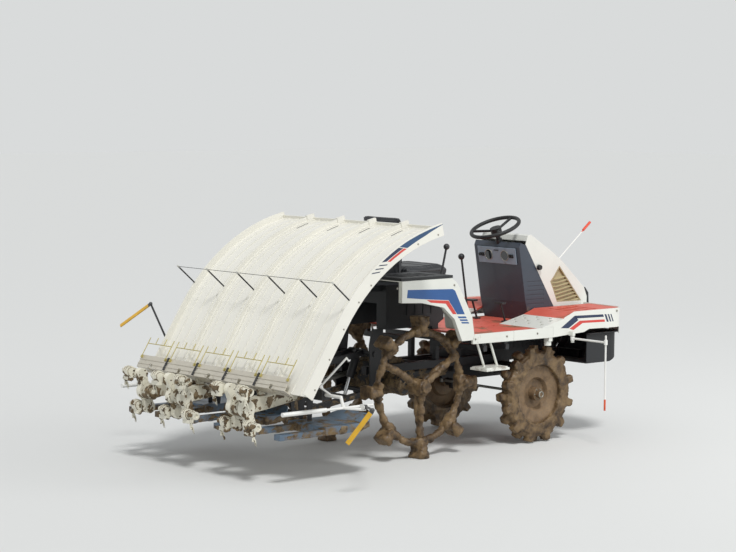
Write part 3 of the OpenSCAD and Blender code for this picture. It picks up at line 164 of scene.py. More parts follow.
def stained(tree, place, apart, paint, roughness, share, top, reach, size):
    """The paint under blotches of dried mud: its colour, its roughness and the mud's height."""
    low = add(tree, "MapRange", {0: apart.outputs[2], 1: top + reach, 2: top - reach})
    spots = add(tree, "TexNoise", {"Vector": place, "Scale": 0.5 / size, "Detail": 7.0,
                                   "Roughness": 0.68, "Distortion": 0.4})
    weight = add(tree, "Math", {0: low.outputs[0], 1: 0.34, 2: spots.outputs[0]},
                 operation="MULTIPLY_ADD")
    covered = add(tree, "MapRange", {0: weight.outputs[0], 1: 0.86 - 0.3 * share,
                                     2: 0.98 - 0.3 * share, 4: min(1.0, 0.4 + share)}).outputs[0]
    tone = add(tree, "TexNoise", {"Vector": place, "Scale": STAIN_BLOTCHES, "Detail": 5.0})
    toned = add(tree, "MapRange", {0: tone.outputs[0], 1: 0.3, 2: 0.7})
    dried = add(tree, "Mix", {0: toned.outputs[0], 6: linear(MUD_MID), 7: linear(STAIN)},
                data_type="RGBA").outputs[2]
    paint = add(tree, "Mix", {0: covered, 6: paint, 7: dried}, data_type="RGBA").outputs[2]
    rough = add(tree, "Mix", {0: covered, 2: roughness, 3: STAIN_ROUGHNESS}).outputs[0]
    thick = add(tree, "Math", {0: covered, 1: STAIN_DEPTH}, operation="MULTIPLY").outputs[0]
    height = add(tree, "Math", {0: thick, 1: tone.outputs[0]}, operation="MULTIPLY").outputs[0]
    return paint, rough, height


def finish(name, colour, roughness, metallic=0.0, shade=0.9, patch=3.0, grain=0.0,
           grain_size=0.002, stain=0.0, stain_top=0.0, stain_reach=0.4, stain_size=0.05,
           wear=None, wear_share=0.5, edge=0.0025, coat=0.0, tip=None):
    """A weathered finish, whose colour drifts to `shade` of itself, `patch` times to the metre.

    A stain of dried mud covers up to the share `stain`, most of it below the height
    `stain_top`. `grain` is the depth and `grain_size` the width of the surface's texture.
    `edge` is the radius to which edges look rounded, and `wear` the colour that shows on them.
    `tip` is an (axis, start, colour) beyond which another colour begins.
    """
    material, tree, shader, place = new_material(name)
    apart = add(tree, "SeparateXYZ", {0: place})
    normal = add(tree, "Bevel", {0: edge}, samples=4).outputs[0]
    paint = drifting(tree, place, colour, shade, patch)
    if tip:
        paint = tipped(tree, apart, paint, *tip)
    relief = None
    if grain:
        fine = add(tree, "TexNoise", {"Vector": place, "Scale": 1 / grain_size, "Detail": 2.0})
        relief = add(tree, "Math", {0: fine.outputs[0], 1: grain}, operation="MULTIPLY").outputs[0]
    if wear:
        paint = rubbed(tree, place, normal, paint, wear, wear_share)
    if stain:
        paint, rough, height = stained(tree, place, apart, paint, roughness, stain, stain_top,
                                       stain_reach, stain_size)
        relief = add(tree, "Math", {0: height, 1: relief}).outputs[0] if relief else height
        tree.links.new(rough, shader.inputs["Roughness"])
    else:
        shader.inputs["Roughness"].default_value = roughness
    if relief:
        normal = add(tree, "Bump", {"Strength": 1.0, "Distance": 1.0, "Height": relief,
                                    "Normal": normal}).outputs[0]
    tree.links.new(paint, shader.inputs["Base Color"])
    tree.links.new(normal, shader.inputs["Normal"])
    shader.inputs["Metallic"].default_value = metallic
    shader.inputs["Coat Weight"].default_value = coat
    return material


def clay(name, wet, mid, dry, lump=0.05, depth=0.003, gloss=0.3):
    """Paddy mud in clods `lump` wide: dark and glossy where wet, pale and matt where dry."""
    material, tree, shader, place = new_material(name)
    clods = add(tree, "TexNoise", {"Vector": place, "Scale": 1 / lump, "Detail": 8.0,
                                   "Roughness": 0.62, "Distortion": 0.3}).outputs[0]
    crumbs = add(tree, "TexNoise", {"Vector": place, "Scale": 8 / lump, "Detail": 6.0,
                                    "Roughness": 0.7}).outputs[0]
    dried = add(tree, "MapRange", {0: clods, 1: 0.42, 2: 0.72}).outputs[0]
    soaked = add(tree, "MapRange", {0: clods, 1: 0.5, 2: 0.3}).outputs[0]
    body = add(tree, "Mix", {0: dried, 6: linear(mid), 7: linear(dry)},
               data_type="RGBA").outputs[2]
    body = add(tree, "Mix", {0: soaked, 6: body, 7: linear(wet)}, data_type="RGBA").outputs[2]
    fleck = add(tree, "MapRange", {0: crumbs, 1: 0.35, 2: 0.75, 3: 0.72, 4: 1.2})
    body = add(tree, "VectorMath", {0: body, "Scale": fleck.outputs[0]},
               operation="SCALE").outputs[0]
    sheen = add(tree, "MapRange", {0: crumbs, 1: 0.4, 2: 0.6, 3: gloss, 4: 0.85}).outputs[0]
    height = add(tree, "Math", {0: clods, 1: depth}, operation="MULTIPLY").outputs[0]
    height = add(tree, "Math", {0: crumbs, 1: depth * 0.3, 2: height},
                 operation="MULTIPLY_ADD").outputs[0]
    bump = add(tree, "Bump", {"Strength": 1.0, "Distance": 1.0, "Height": height})
    tree.links.new(body, shader.inputs["Base Color"])
    tree.links.new(sheen, shader.inputs["Roughness"])
    tree.links.new(bump.outputs[0], shader.inputs["Normal"])
    return material


# Materials, each named for the real finish. Grain too fine to show in the render is drawn about
# 1 mm wide, so that it just breaks up the highlights.

# Chassis enamel: satin black over steel, dusty, rusted where its edges are rubbed
black_enamel = finish("black chassis enamel", "#232427", 0.45, shade=0.7, patch=6, stain=0.35,
                      stain_top=0.35, stain_reach=0.5, wear="#6b4a36", wear_share=0.4)
# Cast engine: bare grey iron with a sandy skin, its grey darkened as painted shade under the front
# fenders
grey_iron_and_shade = finish("sand-cast grey iron", "#55575a", 0.6, metallic=0.6, grain=0.0004,
                   grain_size=0.003, stain=0.2, stain_top=0.6)
# Body panels: off-white enamel, dulled by the sun and splashed with mud low down
white_enamel = finish("off-white panel enamel", "#e3e4dc", 0.32, shade=0.93, patch=2.5,
                      grain=0.00005, grain_size=0.0015, stain=0.42, stain_top=0.62,
                      stain_reach=0.26, coat=0.25)
# Step floor: red polypropylene, faded towards pink and trodden with mud
faded_red = finish("sun-faded red polypropylene", "#d4604f", 0.5, shade=0.86, patch=7,
                   grain=0.00012, grain_size=0.0012, stain=0.5, stain_top=0.80,
                   stain_reach=0.12, stain_size=0.09)
# Undertray and deck: black moulded plastic with a fine leather-like texture
black_plastic = finish("textured black polypropylene", "#1d1f22", 0.55, shade=0.75, patch=5,
                       grain=0.00015, grain_size=0.0012, stain=0.28, stain_top=0.55,
                       stain_reach=0.3)
# Leg shield: dark slate ABS, glossier than the deck
slate_abs = finish("dark slate ABS", "#3a424e", 0.36, shade=0.82, patch=3, grain=0.00004,
                   grain_size=0.001, stain=0.3, stain_top=0.86, stain_reach=0.2, coat=0.15)
# Louvres: beige moulded grilles
beige_abs = finish("beige ABS", "#b3a57e", 0.5, shade=0.85, patch=8, grain=0.00008,
                   grain_size=0.001, stain=0.15, stain_top=0.8)
# Cast arms and rotors: cream enamel on aluminium castings, heavily splashed
cream_casting = finish("cream enamel on castings", "#e9e5d3", 0.33, shade=0.84, patch=14,
                       grain=0.0003, grain_size=0.004, stain=0.4, stain_top=0.34,
                       stain_reach=0.3, stain_size=0.03, coat=0.3, wear="#8d8472")
# Chain cases: the same enamel, greyer and mostly under dried mud
case_casting = finish("grey-cream enamel on chain cases", "#c4bfac", 0.42, shade=0.8, patch=12,
                      grain=0.0003, grain_size=0.004, stain=0.6, stain_top=0.42,
                      stain_reach=0.3, stain_size=0.06)
# Seedling table: off-white moulded panels, satin, a little yellowed
white_table = finish("off-white moulded ABS", "#e9e7dd", 0.38, shade=0.95, patch=3, grain=0.00003,
                     grain_size=0.0012, stain=0.2, stain_top=0.5, stain_reach=0.2,
                     stain_size=0.02, coat=0.1)
# Foot rail: extruded aluminium, satin, dulled by weather and flecked with mud
rail_metal = finish("extruded aluminium", "#d6d0c2", 0.42, metallic=0.55, shade=0.88, patch=9,
                    grain=0.00005, grain_size=0.002, stain=0.22, stain_top=0.6, stain_reach=0.1,
                    stain_size=0.02)
# Floats: blow-moulded blue-grey polyethylene, waxy, muddy below
float_plastic = finish("blue-grey polyethylene", "#5d7184", 0.4, shade=0.8, patch=6,
                       grain=0.0002, grain_size=0.004, stain=0.62, stain_top=0.34,
                       stain_reach=0.12, stain_size=0.07)
# Guards: white enamelled tube with a soft gloss, muddy low down
white_rod = finish("white enamelled tube", "#e8e8e4", 0.3, shade=0.94, patch=10, stain=0.25,
                   stain_top=0.35, stain_reach=0.2, coat=0.3)
# Sighting pole: white rod with an orange-red tip
pole_finish = finish("white rod with an orange tip", "#eceae4", 0.35, shade=0.95, patch=10,
                     tip=(2, 1.335, "#d9482c"))
# Side markers: white enamelled rods, which carry orange feet
marker_rod = finish("white enamelled rod", "#ecebe6", 0.32, shade=0.95, patch=10,
                    stain=0.2, stain_top=0.25, stain_reach=0.1)
# Press wires: steel wire with a yellow zinc passivate
yellow_wire = finish("yellow-passivated steel wire", "#c6b873", 0.35, metallic=0.7, shade=0.85,
                     patch=20, edge=0.0008)
# Table rods, levers and clip caps: black enamel, rubbed grey on its edges
black_rod = finish("black enamelled rod", "#2a2b2d", 0.4, shade=0.8, patch=12, edge=0.001,
                   wear="#7a766c", wear_share=0.6)
# Rods and shafts: bare turned steel, dulled
bare_steel = finish("bare turned steel", "#8d8b86", 0.35, metallic=0.9, shade=0.75, patch=18,
                    grain=0.00003, grain_size=0.002, stain=0.25, stain_top=0.45)
# Cylinder rod: hard chrome, mirror-like
hard_chrome = finish("hard chrome", "#d3d5d8", 0.12, metallic=1.0, shade=0.95, patch=8)
# Line markers: a grey arm that carries a yellow enamelled blade
marker_arm = finish("grey enamel", "#4a4b4c", 0.4, shade=0.8, patch=12, stain=0.2,
                    stain_top=0.3, wear="#86766a")
blade_paint = finish("yellow enamel", "#d9a92c", 0.38, shade=0.86, patch=14, grain=0.00005,
                     grain_size=0.002, stain=0.12, stain_top=0.25, wear="#7d7466")
# Steering wheel, knobs and boots: black polyurethane
soft_black = finish("black polyurethane", "#17181a", 0.5, shade=0.8, patch=10, grain=0.0001,
                    grain_size=0.0012)
# Vinyl on the seat: black, slightly glossy, with a pebbled grain 1 mm across
seat_vinyl = finish("black seat vinyl", "#26282c", 0.42, shade=0.8, patch=6, grain=0.00018,
                    grain_size=0.0011, stain=0.1, stain_top=1.1, stain_reach=0.1, edge=0.001)
# Mud on the wheels: wet in the hollows, crusted on the lumps
wheel_mud = clay("wet paddy mud", MUD_WET, MUD_MID, MUD_DRY, lump=0.07, depth=0.004, gloss=0.28)
# Mud smeared thin over the wheel discs
disc_mud = clay("thin mud over grey enamel", "#54432f", "#735c42", "#8d765a", lump=0.12,
                depth=0.0008, gloss=0.5)
# Stripes: cut vinyl film with a low gloss, on which dust leaves slow patches
blue_film, navy_film, slate_film, red_film = (
    finish(hue + " vinyl film", colour, 0.35, shade=0.9, patch=6, edge=0.0005)
    for hue, colour in (("blue", "#2a5893"), ("navy", "#22314f"), ("slate blue", "#2c4d72"),
                        ("red", "#d2453c")))
# Bolts: zinc-plated steel, dulled
zinc = finish("zinc-plated steel", "#a9a69c", 0.4, metallic=0.8, shade=0.75, patch=30,
              edge=0.0006, stain=0.25, stain_top=0.5)
# Mud thrown up on the castings: small clods, brown to grey
splash_mud = clay("splashed paddy mud", "#33291c", "#5c4a33", "#8b7858", lump=0.025, depth=0.002,
                  gloss=0.35)
# Piping round the seat: the same vinyl, worn smooth
piping_vinyl = finish("smooth black vinyl", "#1a1b1e", 0.34, shade=0.85, patch=12, edge=0.0006)
# Instrument panel: pale blue-grey moulded ABS, left blank
panel_abs = finish("blue-grey moulded ABS", "#8f9dab", 0.4, shade=0.88, patch=8, grain=0.00003,
                   grain_size=0.0008, stain=0.12, stain_top=1.2, stain_reach=0.1, edge=0.0008)
# Lamp and dial faces: clear acrylic over a dark ground
dial_face = finish("acrylic over a dark dial", "#1b2024", 0.08, shade=0.9, patch=20, edge=0.0004,
                   coat=0.8)
# Feet of the side markers and tips of the table's rods: moulded polyethylene, a little waxy
orange_cap = finish("orange moulded cap", "#d9562c", 0.42, shade=0.88, patch=20, edge=0.0006)
grey_cap = finish("light grey moulded cap", "#c9c9c2", 0.45, shade=0.88, patch=20, edge=0.0006)

node_finish = {
    "main_frame": black_enamel, "lift_brackets": black_enamel, "bonnet_brackets": black_enamel,
    # The engine covers are black plates beside the engine, as on real machines, that also stand in
    # for the shade under the front fenders: painted shade
    "engine": grey_iron_and_shade, "engine_covers": black_plastic, "transmission_case": black_enamel,
    "rear_axle_case": black_enamel, "front_undertray": black_plastic, "floor_panels": faded_red,
    "side_skirts": white_enamel, "front_fenders": white_enamel, "rear_fenders": white_enamel,
    "rear_deck": black_plastic, "seat_plinth": black_plastic, "seat_cushion": seat_vinyl,
    "seat_back": seat_vinyl, "dash_cover": slate_abs, "steering_column": black_enamel,
    "boarding_steps": white_enamel, "levers": black_rod, "bonnet": white_enamel,
    "louvre_panels": beige_abs, "nose_grille": black_plastic, "centre_pole": pole_finish,
    "steering_wheel": soft_black, "knuckle_left": black_enamel, "knuckle_right": black_enamel,
    "tie_rod": bare_steel, "front_tyre_left": wheel_mud, "front_tyre_right": wheel_mud,
    "front_rim_left": disc_mud, "front_rim_right": disc_mud, "rear_wheel_left": wheel_mud,
    "rear_wheel_right": wheel_mud, "lower_links": black_enamel, "upper_link": black_enamel,
    "drive_shaft": bare_steel, "lift_barrel": black_enamel, "lift_rod": hard_chrome,
    "hitch_frame": black_enamel, "planting_frame": black_enamel, "planting_cases": case_casting,
    "floats": float_plastic, "seedling_rail": rail_metal, "press_wires": yellow_wire,
    "side_guards": white_rod, "seedling_table": white_table, "table_rods": black_rod,
    "planting_rotors": cream_casting, "planting_arms_a": cream_casting,
    "planting_arms_b": cream_casting, "line_marker_left": marker_arm,
    "line_marker_right": marker_arm, "side_marker_left": marker_rod,
    "side_marker_right": marker_rod,
}
for node, material in node_finish.items():
    slots = nodes[node].data.materials
    slots.clear()
    slots.append(material)

# Mesh helpers


def piece(name, shape, material, body, smooth=False, seat=None):
    """Makes an object of a bmesh, moved by `seat`, dresses it and lets it ride on a body."""
    if seat:
        bmesh.ops.transform(shape, matrix=seat, verts=shape.verts)
    mesh = bpy.data.meshes.new(name)
    shape.to_mesh(mesh)
    shape.free()
    made = bpy.data.objects.new(name, mesh)
    scene.collection.objects.link(made)
    mesh.materials.append(material)
    for face in mesh.polygons:
        face.use_smooth = smooth
    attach(made, body)
    return made


def plate(shape, points, y, thickness):
    """Adds a flat plate of film that faces sideways: its outline in X and Z, at y."""
    corners = [shape.verts.new((x, y, z)) for x, z in points]
    face = shape.faces.new(corners)
    grown = bmesh.ops.extrude_face_region(shape, geom=[face])
    moved = [v for v in grown["geom"] if isinstance(v, bmesh.types.BMVert)]
    bmesh.ops.translate(shape, verts=moved, vec=(0, thickness, 0))


FILM_PROUD = 0.0004
FILM_SUNK = 0.0001


def films(name, outlines, y, material, body):
    """Films on both sides of the machine, a little proud of the panels at y[0] and y[1]."""
    shape = bmesh.new()
    for outline in outlines:
        plate(shape, outline, y[0] - FILM_PROUD, FILM_PROUD + FILM_SUNK)
        plate(shape, outline, y[1] - FILM_SUNK, FILM_PROUD + FILM_SUNK)
    bmesh.ops.recalc_face_normals(shape, faces=shape.faces)
    return piece(name, shape, material, body)


def turned_to(axis):
    """The turn that lays +Z along an axis."""
    return Vector((0, 0, 1)).rotation_difference(Vector(axis)).to_matrix().to_4x4()


def bolt(shape, place, axis, size, height):
    """Adds a washer and a hexagon head, standing along axis."""
    seat = Matrix.Translation(Vector(place)) @ turned_to(axis)
    for radius, tall, corners, lift in ((size * 0.95, height * 0.25, 20, 0.0),
                                        (size * 0.6, height, 6, height * 0.2)):
        bmesh.ops.create_cone(shape, cap_ends=True, segments=corners, radius1=radius,
                              radius2=radius * 0.94, depth=tall,
                              matrix=seat @ Matrix.Translation((0, 0, lift + tall / 2)))


def bolts(name, places, axis, size, height, body):
    """A piece of zinc-plated bolts, whose axis may be worked out from each one's place."""
    shape = bmesh.new()
    for place in places:
        bolt(shape, place, axis(place) if callable(axis) else axis, size, height)
    return piece(name, shape, zinc, body)


def outward(place, middle=0.0):
    """Sideways, away from the middle."""
    return (0, 1 if place[1] > middle else -1, 0)


def sides(places):
    """The places and their mirror images on the other side."""
    return [(x, s * y, z) for x, y, z in places for s in (1, -1)]


# Stripes on the rear fenders, the front fenders and the table's side panels

FENDER_Y = (-0.600, 0.600)
films("fender_blue_band", [
    [(-0.250, 1.036), (-0.244, 1.086), (0.137, 1.072), (0.101, 1.004), (-0.092, 1.020)],
    [(0.101, 1.004), (0.137, 1.072), (0.158, 1.060), (0.243, 0.907), (0.177, 0.911)],
    [(0.181, 0.897), (0.251, 0.893), (0.262, 0.881), (0.190, 0.885)],
    [(0.197, 0.878), (0.264, 0.874), (0.272, 0.863), (0.206, 0.867)],
    [(0.212, 0.860), (0.276, 0.856), (0.283, 0.846), (0.220, 0.850)],
], FENDER_Y, blue_film, "chassis")
films("fender_red_band", [
    [(-0.086, 1.016), (0.101, 1.001), (0.078, 0.983), (-0.050, 0.997)],
    [(0.101, 1.001), (0.173, 0.912), (0.140, 0.914), (0.078, 0.983)],
], FENDER_Y, red_film, "chassis")
films("nose_navy_band", [
    [(1.118, 0.762), (1.248, 0.836), (1.285, 0.806), (1.192, 0.757)],
    [(1.248, 0.836), (1.524, 0.829), (1.532, 0.812), (1.262, 0.817)],
    [(1.537, 0.829), (1.555, 0.828), (1.580, 0.776), (1.562, 0.777)],
    [(1.568, 0.828), (1.582, 0.827), (1.606, 0.776), (1.592, 0.776)],
    [(1.595, 0.827), (1.606, 0.826), (1.629, 0.776), (1.618, 0.776)],
], FENDER_Y, navy_film, "chassis")
films("nose_red_band", [
    [(1.200, 0.753), (1.298, 0.800), (1.325, 0.783), (1.238, 0.742)],
    [(1.298, 0.800), (1.538, 0.794), (1.544, 0.778), (1.325, 0.783)],
], FENDER_Y, red_film, "chassis")

# The table's path: a straight foot and then an arc, as in the part's source
TABLE_FOOT = Vector((-1.311161, 0.564496))
TABLE_SLOPE = math.radians(57.3)
TABLE_STRAIGHT = 0.460
TABLE_RADIUS = 1.270
TABLE_BEND = math.radians(45)
# At rest the table is at the right end of its travel. It has five columns, with a divider
# between each two, and its side panels' outer faces stand at these two places in Y
TABLE_SHIFT = -0.135
TABLE_SIDES = (-0.893, 0.623)
COLUMN = 0.300
DIVIDERS = (-1.5, -0.5, 0.5, 1.5)


def on_table(s, height):
    """X and Z of the point s along the table's edge and so high above it."""
    turned = min(max(s - TABLE_STRAIGHT, 0) / TABLE_RADIUS, TABLE_BEND)
    slope = TABLE_SLOPE - turned
    foot_way = Vector((math.cos(TABLE_SLOPE), math.sin(TABLE_SLOPE)))
    foot = TABLE_FOOT + min(s, TABLE_STRAIGHT) * foot_way
    arc = TABLE_RADIUS * Vector((math.sin(TABLE_SLOPE) - math.sin(slope),
                                 math.cos(slope) - math.cos(TABLE_SLOPE)))
    past = max(s - TABLE_STRAIGHT - TABLE_RADIUS * TABLE_BEND, 0)
    point = foot + arc + past * Vector((math.cos(slope), math.sin(slope)))
    return point + height * Vector((-math.sin(slope), math.cos(slope)))


# The source draws the arc in straight parts
ARC_PARTS = 12
ARC_PART = TABLE_RADIUS * TABLE_BEND / ARC_PARTS


def table_strip(start, end, low, high):
    """The outline of a stripe along a side panel, whose heights change from start to end."""
    turns = [TABLE_STRAIGHT + ARC_PART * i for i in range(ARC_PARTS + 1)]
    steps = [start] + [t for t in turns if start < t < end] + [end]

    def at(s, heights):
        share = (s - start) / (end - start)
        return tuple(on_table(s, heights[0] + share * (heights[1] - heights[0])))

    return [at(s, low) for s in steps] + [at(s, high) for s in reversed(steps)]


def table_patch(*corners):
    """A patch on a side panel, its corners given as places along the table and heights."""
    return [tuple(on_table(s, height)) for s, height in corners]


# The blue band begins on a slant and runs out to a point at the table's top
films("table_blue_band", [
    table_patch((1.115, -0.010), (1.170, -0.010), (1.170, -0.046)),
    table_strip(1.170, 1.335, (-0.046, -0.036), (-0.010, -0.012)),
    table_strip(1.335, 1.490, (-0.036, -0.011), (-0.012, -0.0085)),
], TABLE_SIDES, slate_film, "seedling_table")
films("table_navy_band", [
    table_patch((0.950, -0.010), (0.985, -0.010), (0.985, -0.029)),
    table_strip(0.985, 1.095, (-0.029, -0.031), (-0.010, -0.010)),
    table_patch((1.095, -0.010), (1.107, -0.010), (1.139, -0.031), (1.095, -0.031)),
], TABLE_SIDES, navy_film, "seedling_table")
films("table_red_band", [
    table_patch((0.990, -0.034), (1.010, -0.034), (1.010, -0.048)),
    table_strip(1.010, 1.130, (-0.048, -0.048), (-0.034, -0.034)),
    table_patch((1.130, -0.034), (1.142, -0.034), (1.163, -0.048), (1.130, -0.048)),
], TABLE_SIDES, red_film, "seedling_table")
films("table_navy_bars", [
    table_patch((s, -0.013), (s + 0.011, -0.013), (s + 0.065, -0.048), (s + 0.054, -0.048))
    for s in (0.846, 0.882, 0.918)
], TABLE_SIDES, navy_film, "seedling_table")

# Mud and soft forms: a node's shape with an even mesh, moved along its normals


def node_shape(name):
    """A copy of a node's mesh as a closed bmesh."""
    shape = bmesh.new()
    shape.from_mesh(nodes[name].data)
    bmesh.ops.remove_doubles(shape, verts=shape.verts, dist=1e-5)
    return shape


def evened(shape, voxel):
    """The same form with faces of an even size, `voxel` wide."""
    mesh = bpy.data.meshes.new("rough")
    shape.to_mesh(mesh)
    shape.free()
    rough = bpy.data.objects.new("rough", mesh)
    scene.collection.objects.link(rough)
    remesh = rough.modifiers.new("remesh", "REMESH")
    remesh.mode = "VOXEL"
    remesh.voxel_size = voxel
    made = bpy.data.meshes.new_from_object(
        rough.evaluated_get(bpy.context.evaluated_depsgraph_get()))
    bpy.data.objects.remove(rough)
    fine = bmesh.new()
    fine.from_mesh(made)
    bpy.data.meshes.remove(made)
    return fine


# Fractal noise of the clods: how fast its layers weaken, how much finer each is, their number
CLOD_NOISE = (0.75, 2.1, 5)


def crust(shape, depth, bare, lump, inward, hang=0.0):
    """Pushes the surface out into clods up to `depth` thick, or sinks it where it stays bare.

    A clod grows where the noise passes `bare`, so a lower value leaves less bare. `hang` makes
    the clods thicker on undersides and thinner on top.
    """
    shape.normal_update()
    for vert in shape.verts:
        clods = noise.fractal(vert.co / lump, *CLOD_NOISE) - hang * vert.normal.z
        vert.co += vert.normal * max(-inward, min(depth, depth * (clods - bare)))


def within(shape, low, high, hub=None, reach=None):
    """Keeps a shape inside a box, and inside a circle round the wheel's hub."""
    for vert in shape.verts:
        for axis in range(3):
            vert.co[axis] = min(max(vert.co[axis], low[axis]), high[axis])
        if hub:
            out = Vector((vert.co.x - hub[0], vert.co.z - hub[1]))
            if out.length > reach:
                out *= reach / out.length
                vert.co.x, vert.co.z = hub[0] + out.x, hub[1] + out.y


def box_of(shape):
    """The lowest and highest corner of a shape."""
    return [[pick(v.co[axis] for v in shape.verts) for axis in range(3)] for pick in (min, max)]


# Hubs of the wheels in X and Z
FRONT_AXLE = (1.040, 0.320)
REAR_AXLE = (0.0, 0.450)
WHEEL_MESH = 0.0075
WHEEL_CLOD = 0.055

# Wheels under a thick crust of mud. Columns: node, hub, radius, slot, thickness, bareness
for node, hub, reach, slot, depth, bare in (
        ("front_tyre", FRONT_AXLE, 0.320, "tyre", 0.011, -0.05),
        ("rear_wheel", REAR_AXLE, 0.450, "wheel_rubber", 0.016, -0.65)):
    for side in ("left", "right"):
        name = node + "_" + side
        shape = node_shape(name)
        low, high = box_of(shape)
        shape = evened(shape, WHEEL_MESH)
        crust(shape, depth, bare, WHEEL_CLOD, 0.002)
        bmesh.ops.smooth_vert(shape, verts=shape.verts, factor=0.35, use_axis_x=True,
                              use_axis_y=True, use_axis_z=True)
        within(shape, low, high, hub, reach)
        made = piece("mud_" + name, shape, wheel_mud, name.replace("tyre", "wheel"),
                     smooth=True)
        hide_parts(name)

# Mud that clings to the running and planting gear. Columns: node, body, slot, mesh width,
# thickness, bareness, size of a clod, hang
for node, body, slot, voxel, depth, bare, lump, hang in (
        ("planting_arms_a", "planting_arms_a", "cast_alloy", 0.0040, 0.011, 0.30, 0.045, 0.30),
        ("planting_arms_b", "planting_arms_b", "cast_alloy", 0.0040, 0.011, 0.20, 0.045, 0.30),
        ("planting_rotors", "planting_rotors", "cast_alloy", 0.0045, 0.010, 0.25, 0.050, 0.30),
        ("planting_cases", "planting_section", "cast_alloy", 0.0065, 0.009, 0.05, 0.060, 0.30),
        ("floats", "planting_section", "float_plastic", 0.0085, 0.008, 0.10, 0.080, 0.20),
        ("hitch_frame", "planting_section", "frame_black", 0.0065, 0.007, 0.10, 0.060, 0.10),
        ("lower_links", "lower_links", "frame_black", 0.0065, 0.006, 0.10, 0.050, 0.10),
        ("rear_axle_case", "chassis", "frame_black", 0.0080, 0.012, -0.20, 0.060, 0.10)):
    shape = evened(node_shape(node), voxel)
    crust(shape, depth, bare, lump, 0.0015, hang)
    within(shape, *cad_box)
    piece("mud_on_" + node, shape, splash_mud, body, smooth=True)

# Seat: a cushion and a back of padded vinyl, with sewn channels and piping

PAD_STEPS = 20
PAD_MESH = 0.0075
PAD_EDGE = 0.022


def pad(name, node, outline, half_width, seams, cap, pressure=4.0):
    """A pad: its side outline in X and Z, drawn small, then blown up as cloth within a cap."""
    shape = bmesh.new()
    corners = [shape.verts.new((x, -half_width, z)) for x, z in outline]
    face = shape.faces.new(corners)
    grown = bmesh.ops.extrude_face_region(shape, geom=[face])
    moved = [v for v in grown["geom"] if isinstance(v, bmesh.types.BMVert)]
    bmesh.ops.translate(shape, verts=moved, vec=(0, 2 * half_width, 0))
    bmesh.ops.recalc_face_normals(shape, faces=shape.faces)
    bmesh.ops.bevel(shape, geom=shape.edges, offset=PAD_EDGE, affect="EDGES", segments=3,
                    profile=0.5, material=-1)
    shape = evened(shape, PAD_MESH)
    mesh = bpy.data.meshes.new(name)
    shape.to_mesh(mesh)
    shape.free()
    made = bpy.data.objects.new(name, mesh)
    scene.collection.objects.link(made)
    before = [v.co.copy() for v in mesh.vertices]
    cloth = made.modifiers.new("cloth", "CLOTH")
    cloth.settings.use_pressure = True
    cloth.settings.uniform_pressure_force = pressure
    cloth.settings.effector_weights.gravity = 0
    cloth.point_cache.frame_start = 1
    cloth.point_cache.frame_end = PAD_STEPS
    for frame_number in range(1, PAD_STEPS + 1):
        scene.frame_set(frame_number)
    settled = bpy.data.meshes.new_from_object(
        made.evaluated_get(bpy.context.evaluated_depsgraph_get()))
    made.modifiers.remove(cloth)
    scene.frame_set(1)
    for vert, start, moved in zip(mesh.vertices, before, settled.vertices):
        step = moved.co - start
        vert.co = start + step * min(1.0, cap / max(step.length, 1e-9))
    bpy.data.meshes.remove(settled)
    shape = bmesh.new()
    shape.from_mesh(mesh)
    bmesh.ops.subdivide_edges(shape, edges=shape.edges, cuts=1, use_grid_fill=True, smooth=0.8)
    seams(shape)
    box = node_shape(node)
    low, high = box_of(box)
    box.free()
    within(shape, low, high)
    shape.to_mesh(mesh)
    shape.free()
    mesh.materials.append(seat_vinyl)
    for face in mesh.polygons:
        face.use_smooth = True
    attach(made, "chassis")
    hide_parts(node)
    return made


def channel(shape, axis, places, facing, half, depth, width=0.0045):
    """Sewn channels: narrow valleys across the side of a pad that faces along `facing`."""
    shape.normal_update()
    for vert in shape.verts:
        front = max(0.0, vert.normal.dot(Vector(facing)))
        inside = 1.0 if abs(vert.co.y) < half else 0.0
        dip = sum(math.exp(-((vert.co[axis] - place) / width) ** 2) for place in places)
        vert.co -= vert.normal * (depth * min(1.0, dip) * front * inside)


def cushion_seams(shape):
    """Four channels across the cushion and one along each side, on its top."""
    channel(shape, 0, (0.190, 0.260, 0.330, 0.400), (0, 0, 1), 0.150, 0.007)
    channel(shape, 1, (-0.150, 0.150), (0, 0, 1), 0.300, 0.007)


def back_seams(shape):
    """Three channels across the back and one up each side, on its front."""
    channel(shape, 2, (1.260, 1.330, 1.400), (1, 0, 0), 0.135, 0.006)
    channel(shape, 1, (-0.135, 0.135), (1, 0, 0), 0.300, 0.006)


cushion = pad("seat_cushion_pad", "seat_cushion", [
    (0.112, 1.108), (0.112, 1.166), (0.130, 1.176), (0.300, 1.168), (0.440, 1.180),
    (0.484, 1.170), (0.494, 1.146), (0.478, 1.112), (0.466, 1.108)], 0.198, cushion_seams, 0.012)
back = pad("seat_back_pad", "seat_back", [
    (0.070, 1.112), (0.082, 1.112), (0.086, 1.200), (0.112, 1.212), (0.098, 1.370),
    (0.086, 1.480), (0.076, 1.502), (0.064, 1.502), (0.056, 1.484), (0.072, 1.250),
    (0.066, 1.116)], 0.180, back_seams, 0.010, pressure=3.0)


PIPING_RADIUS = 0.0035
PIPING_SIDES = 8


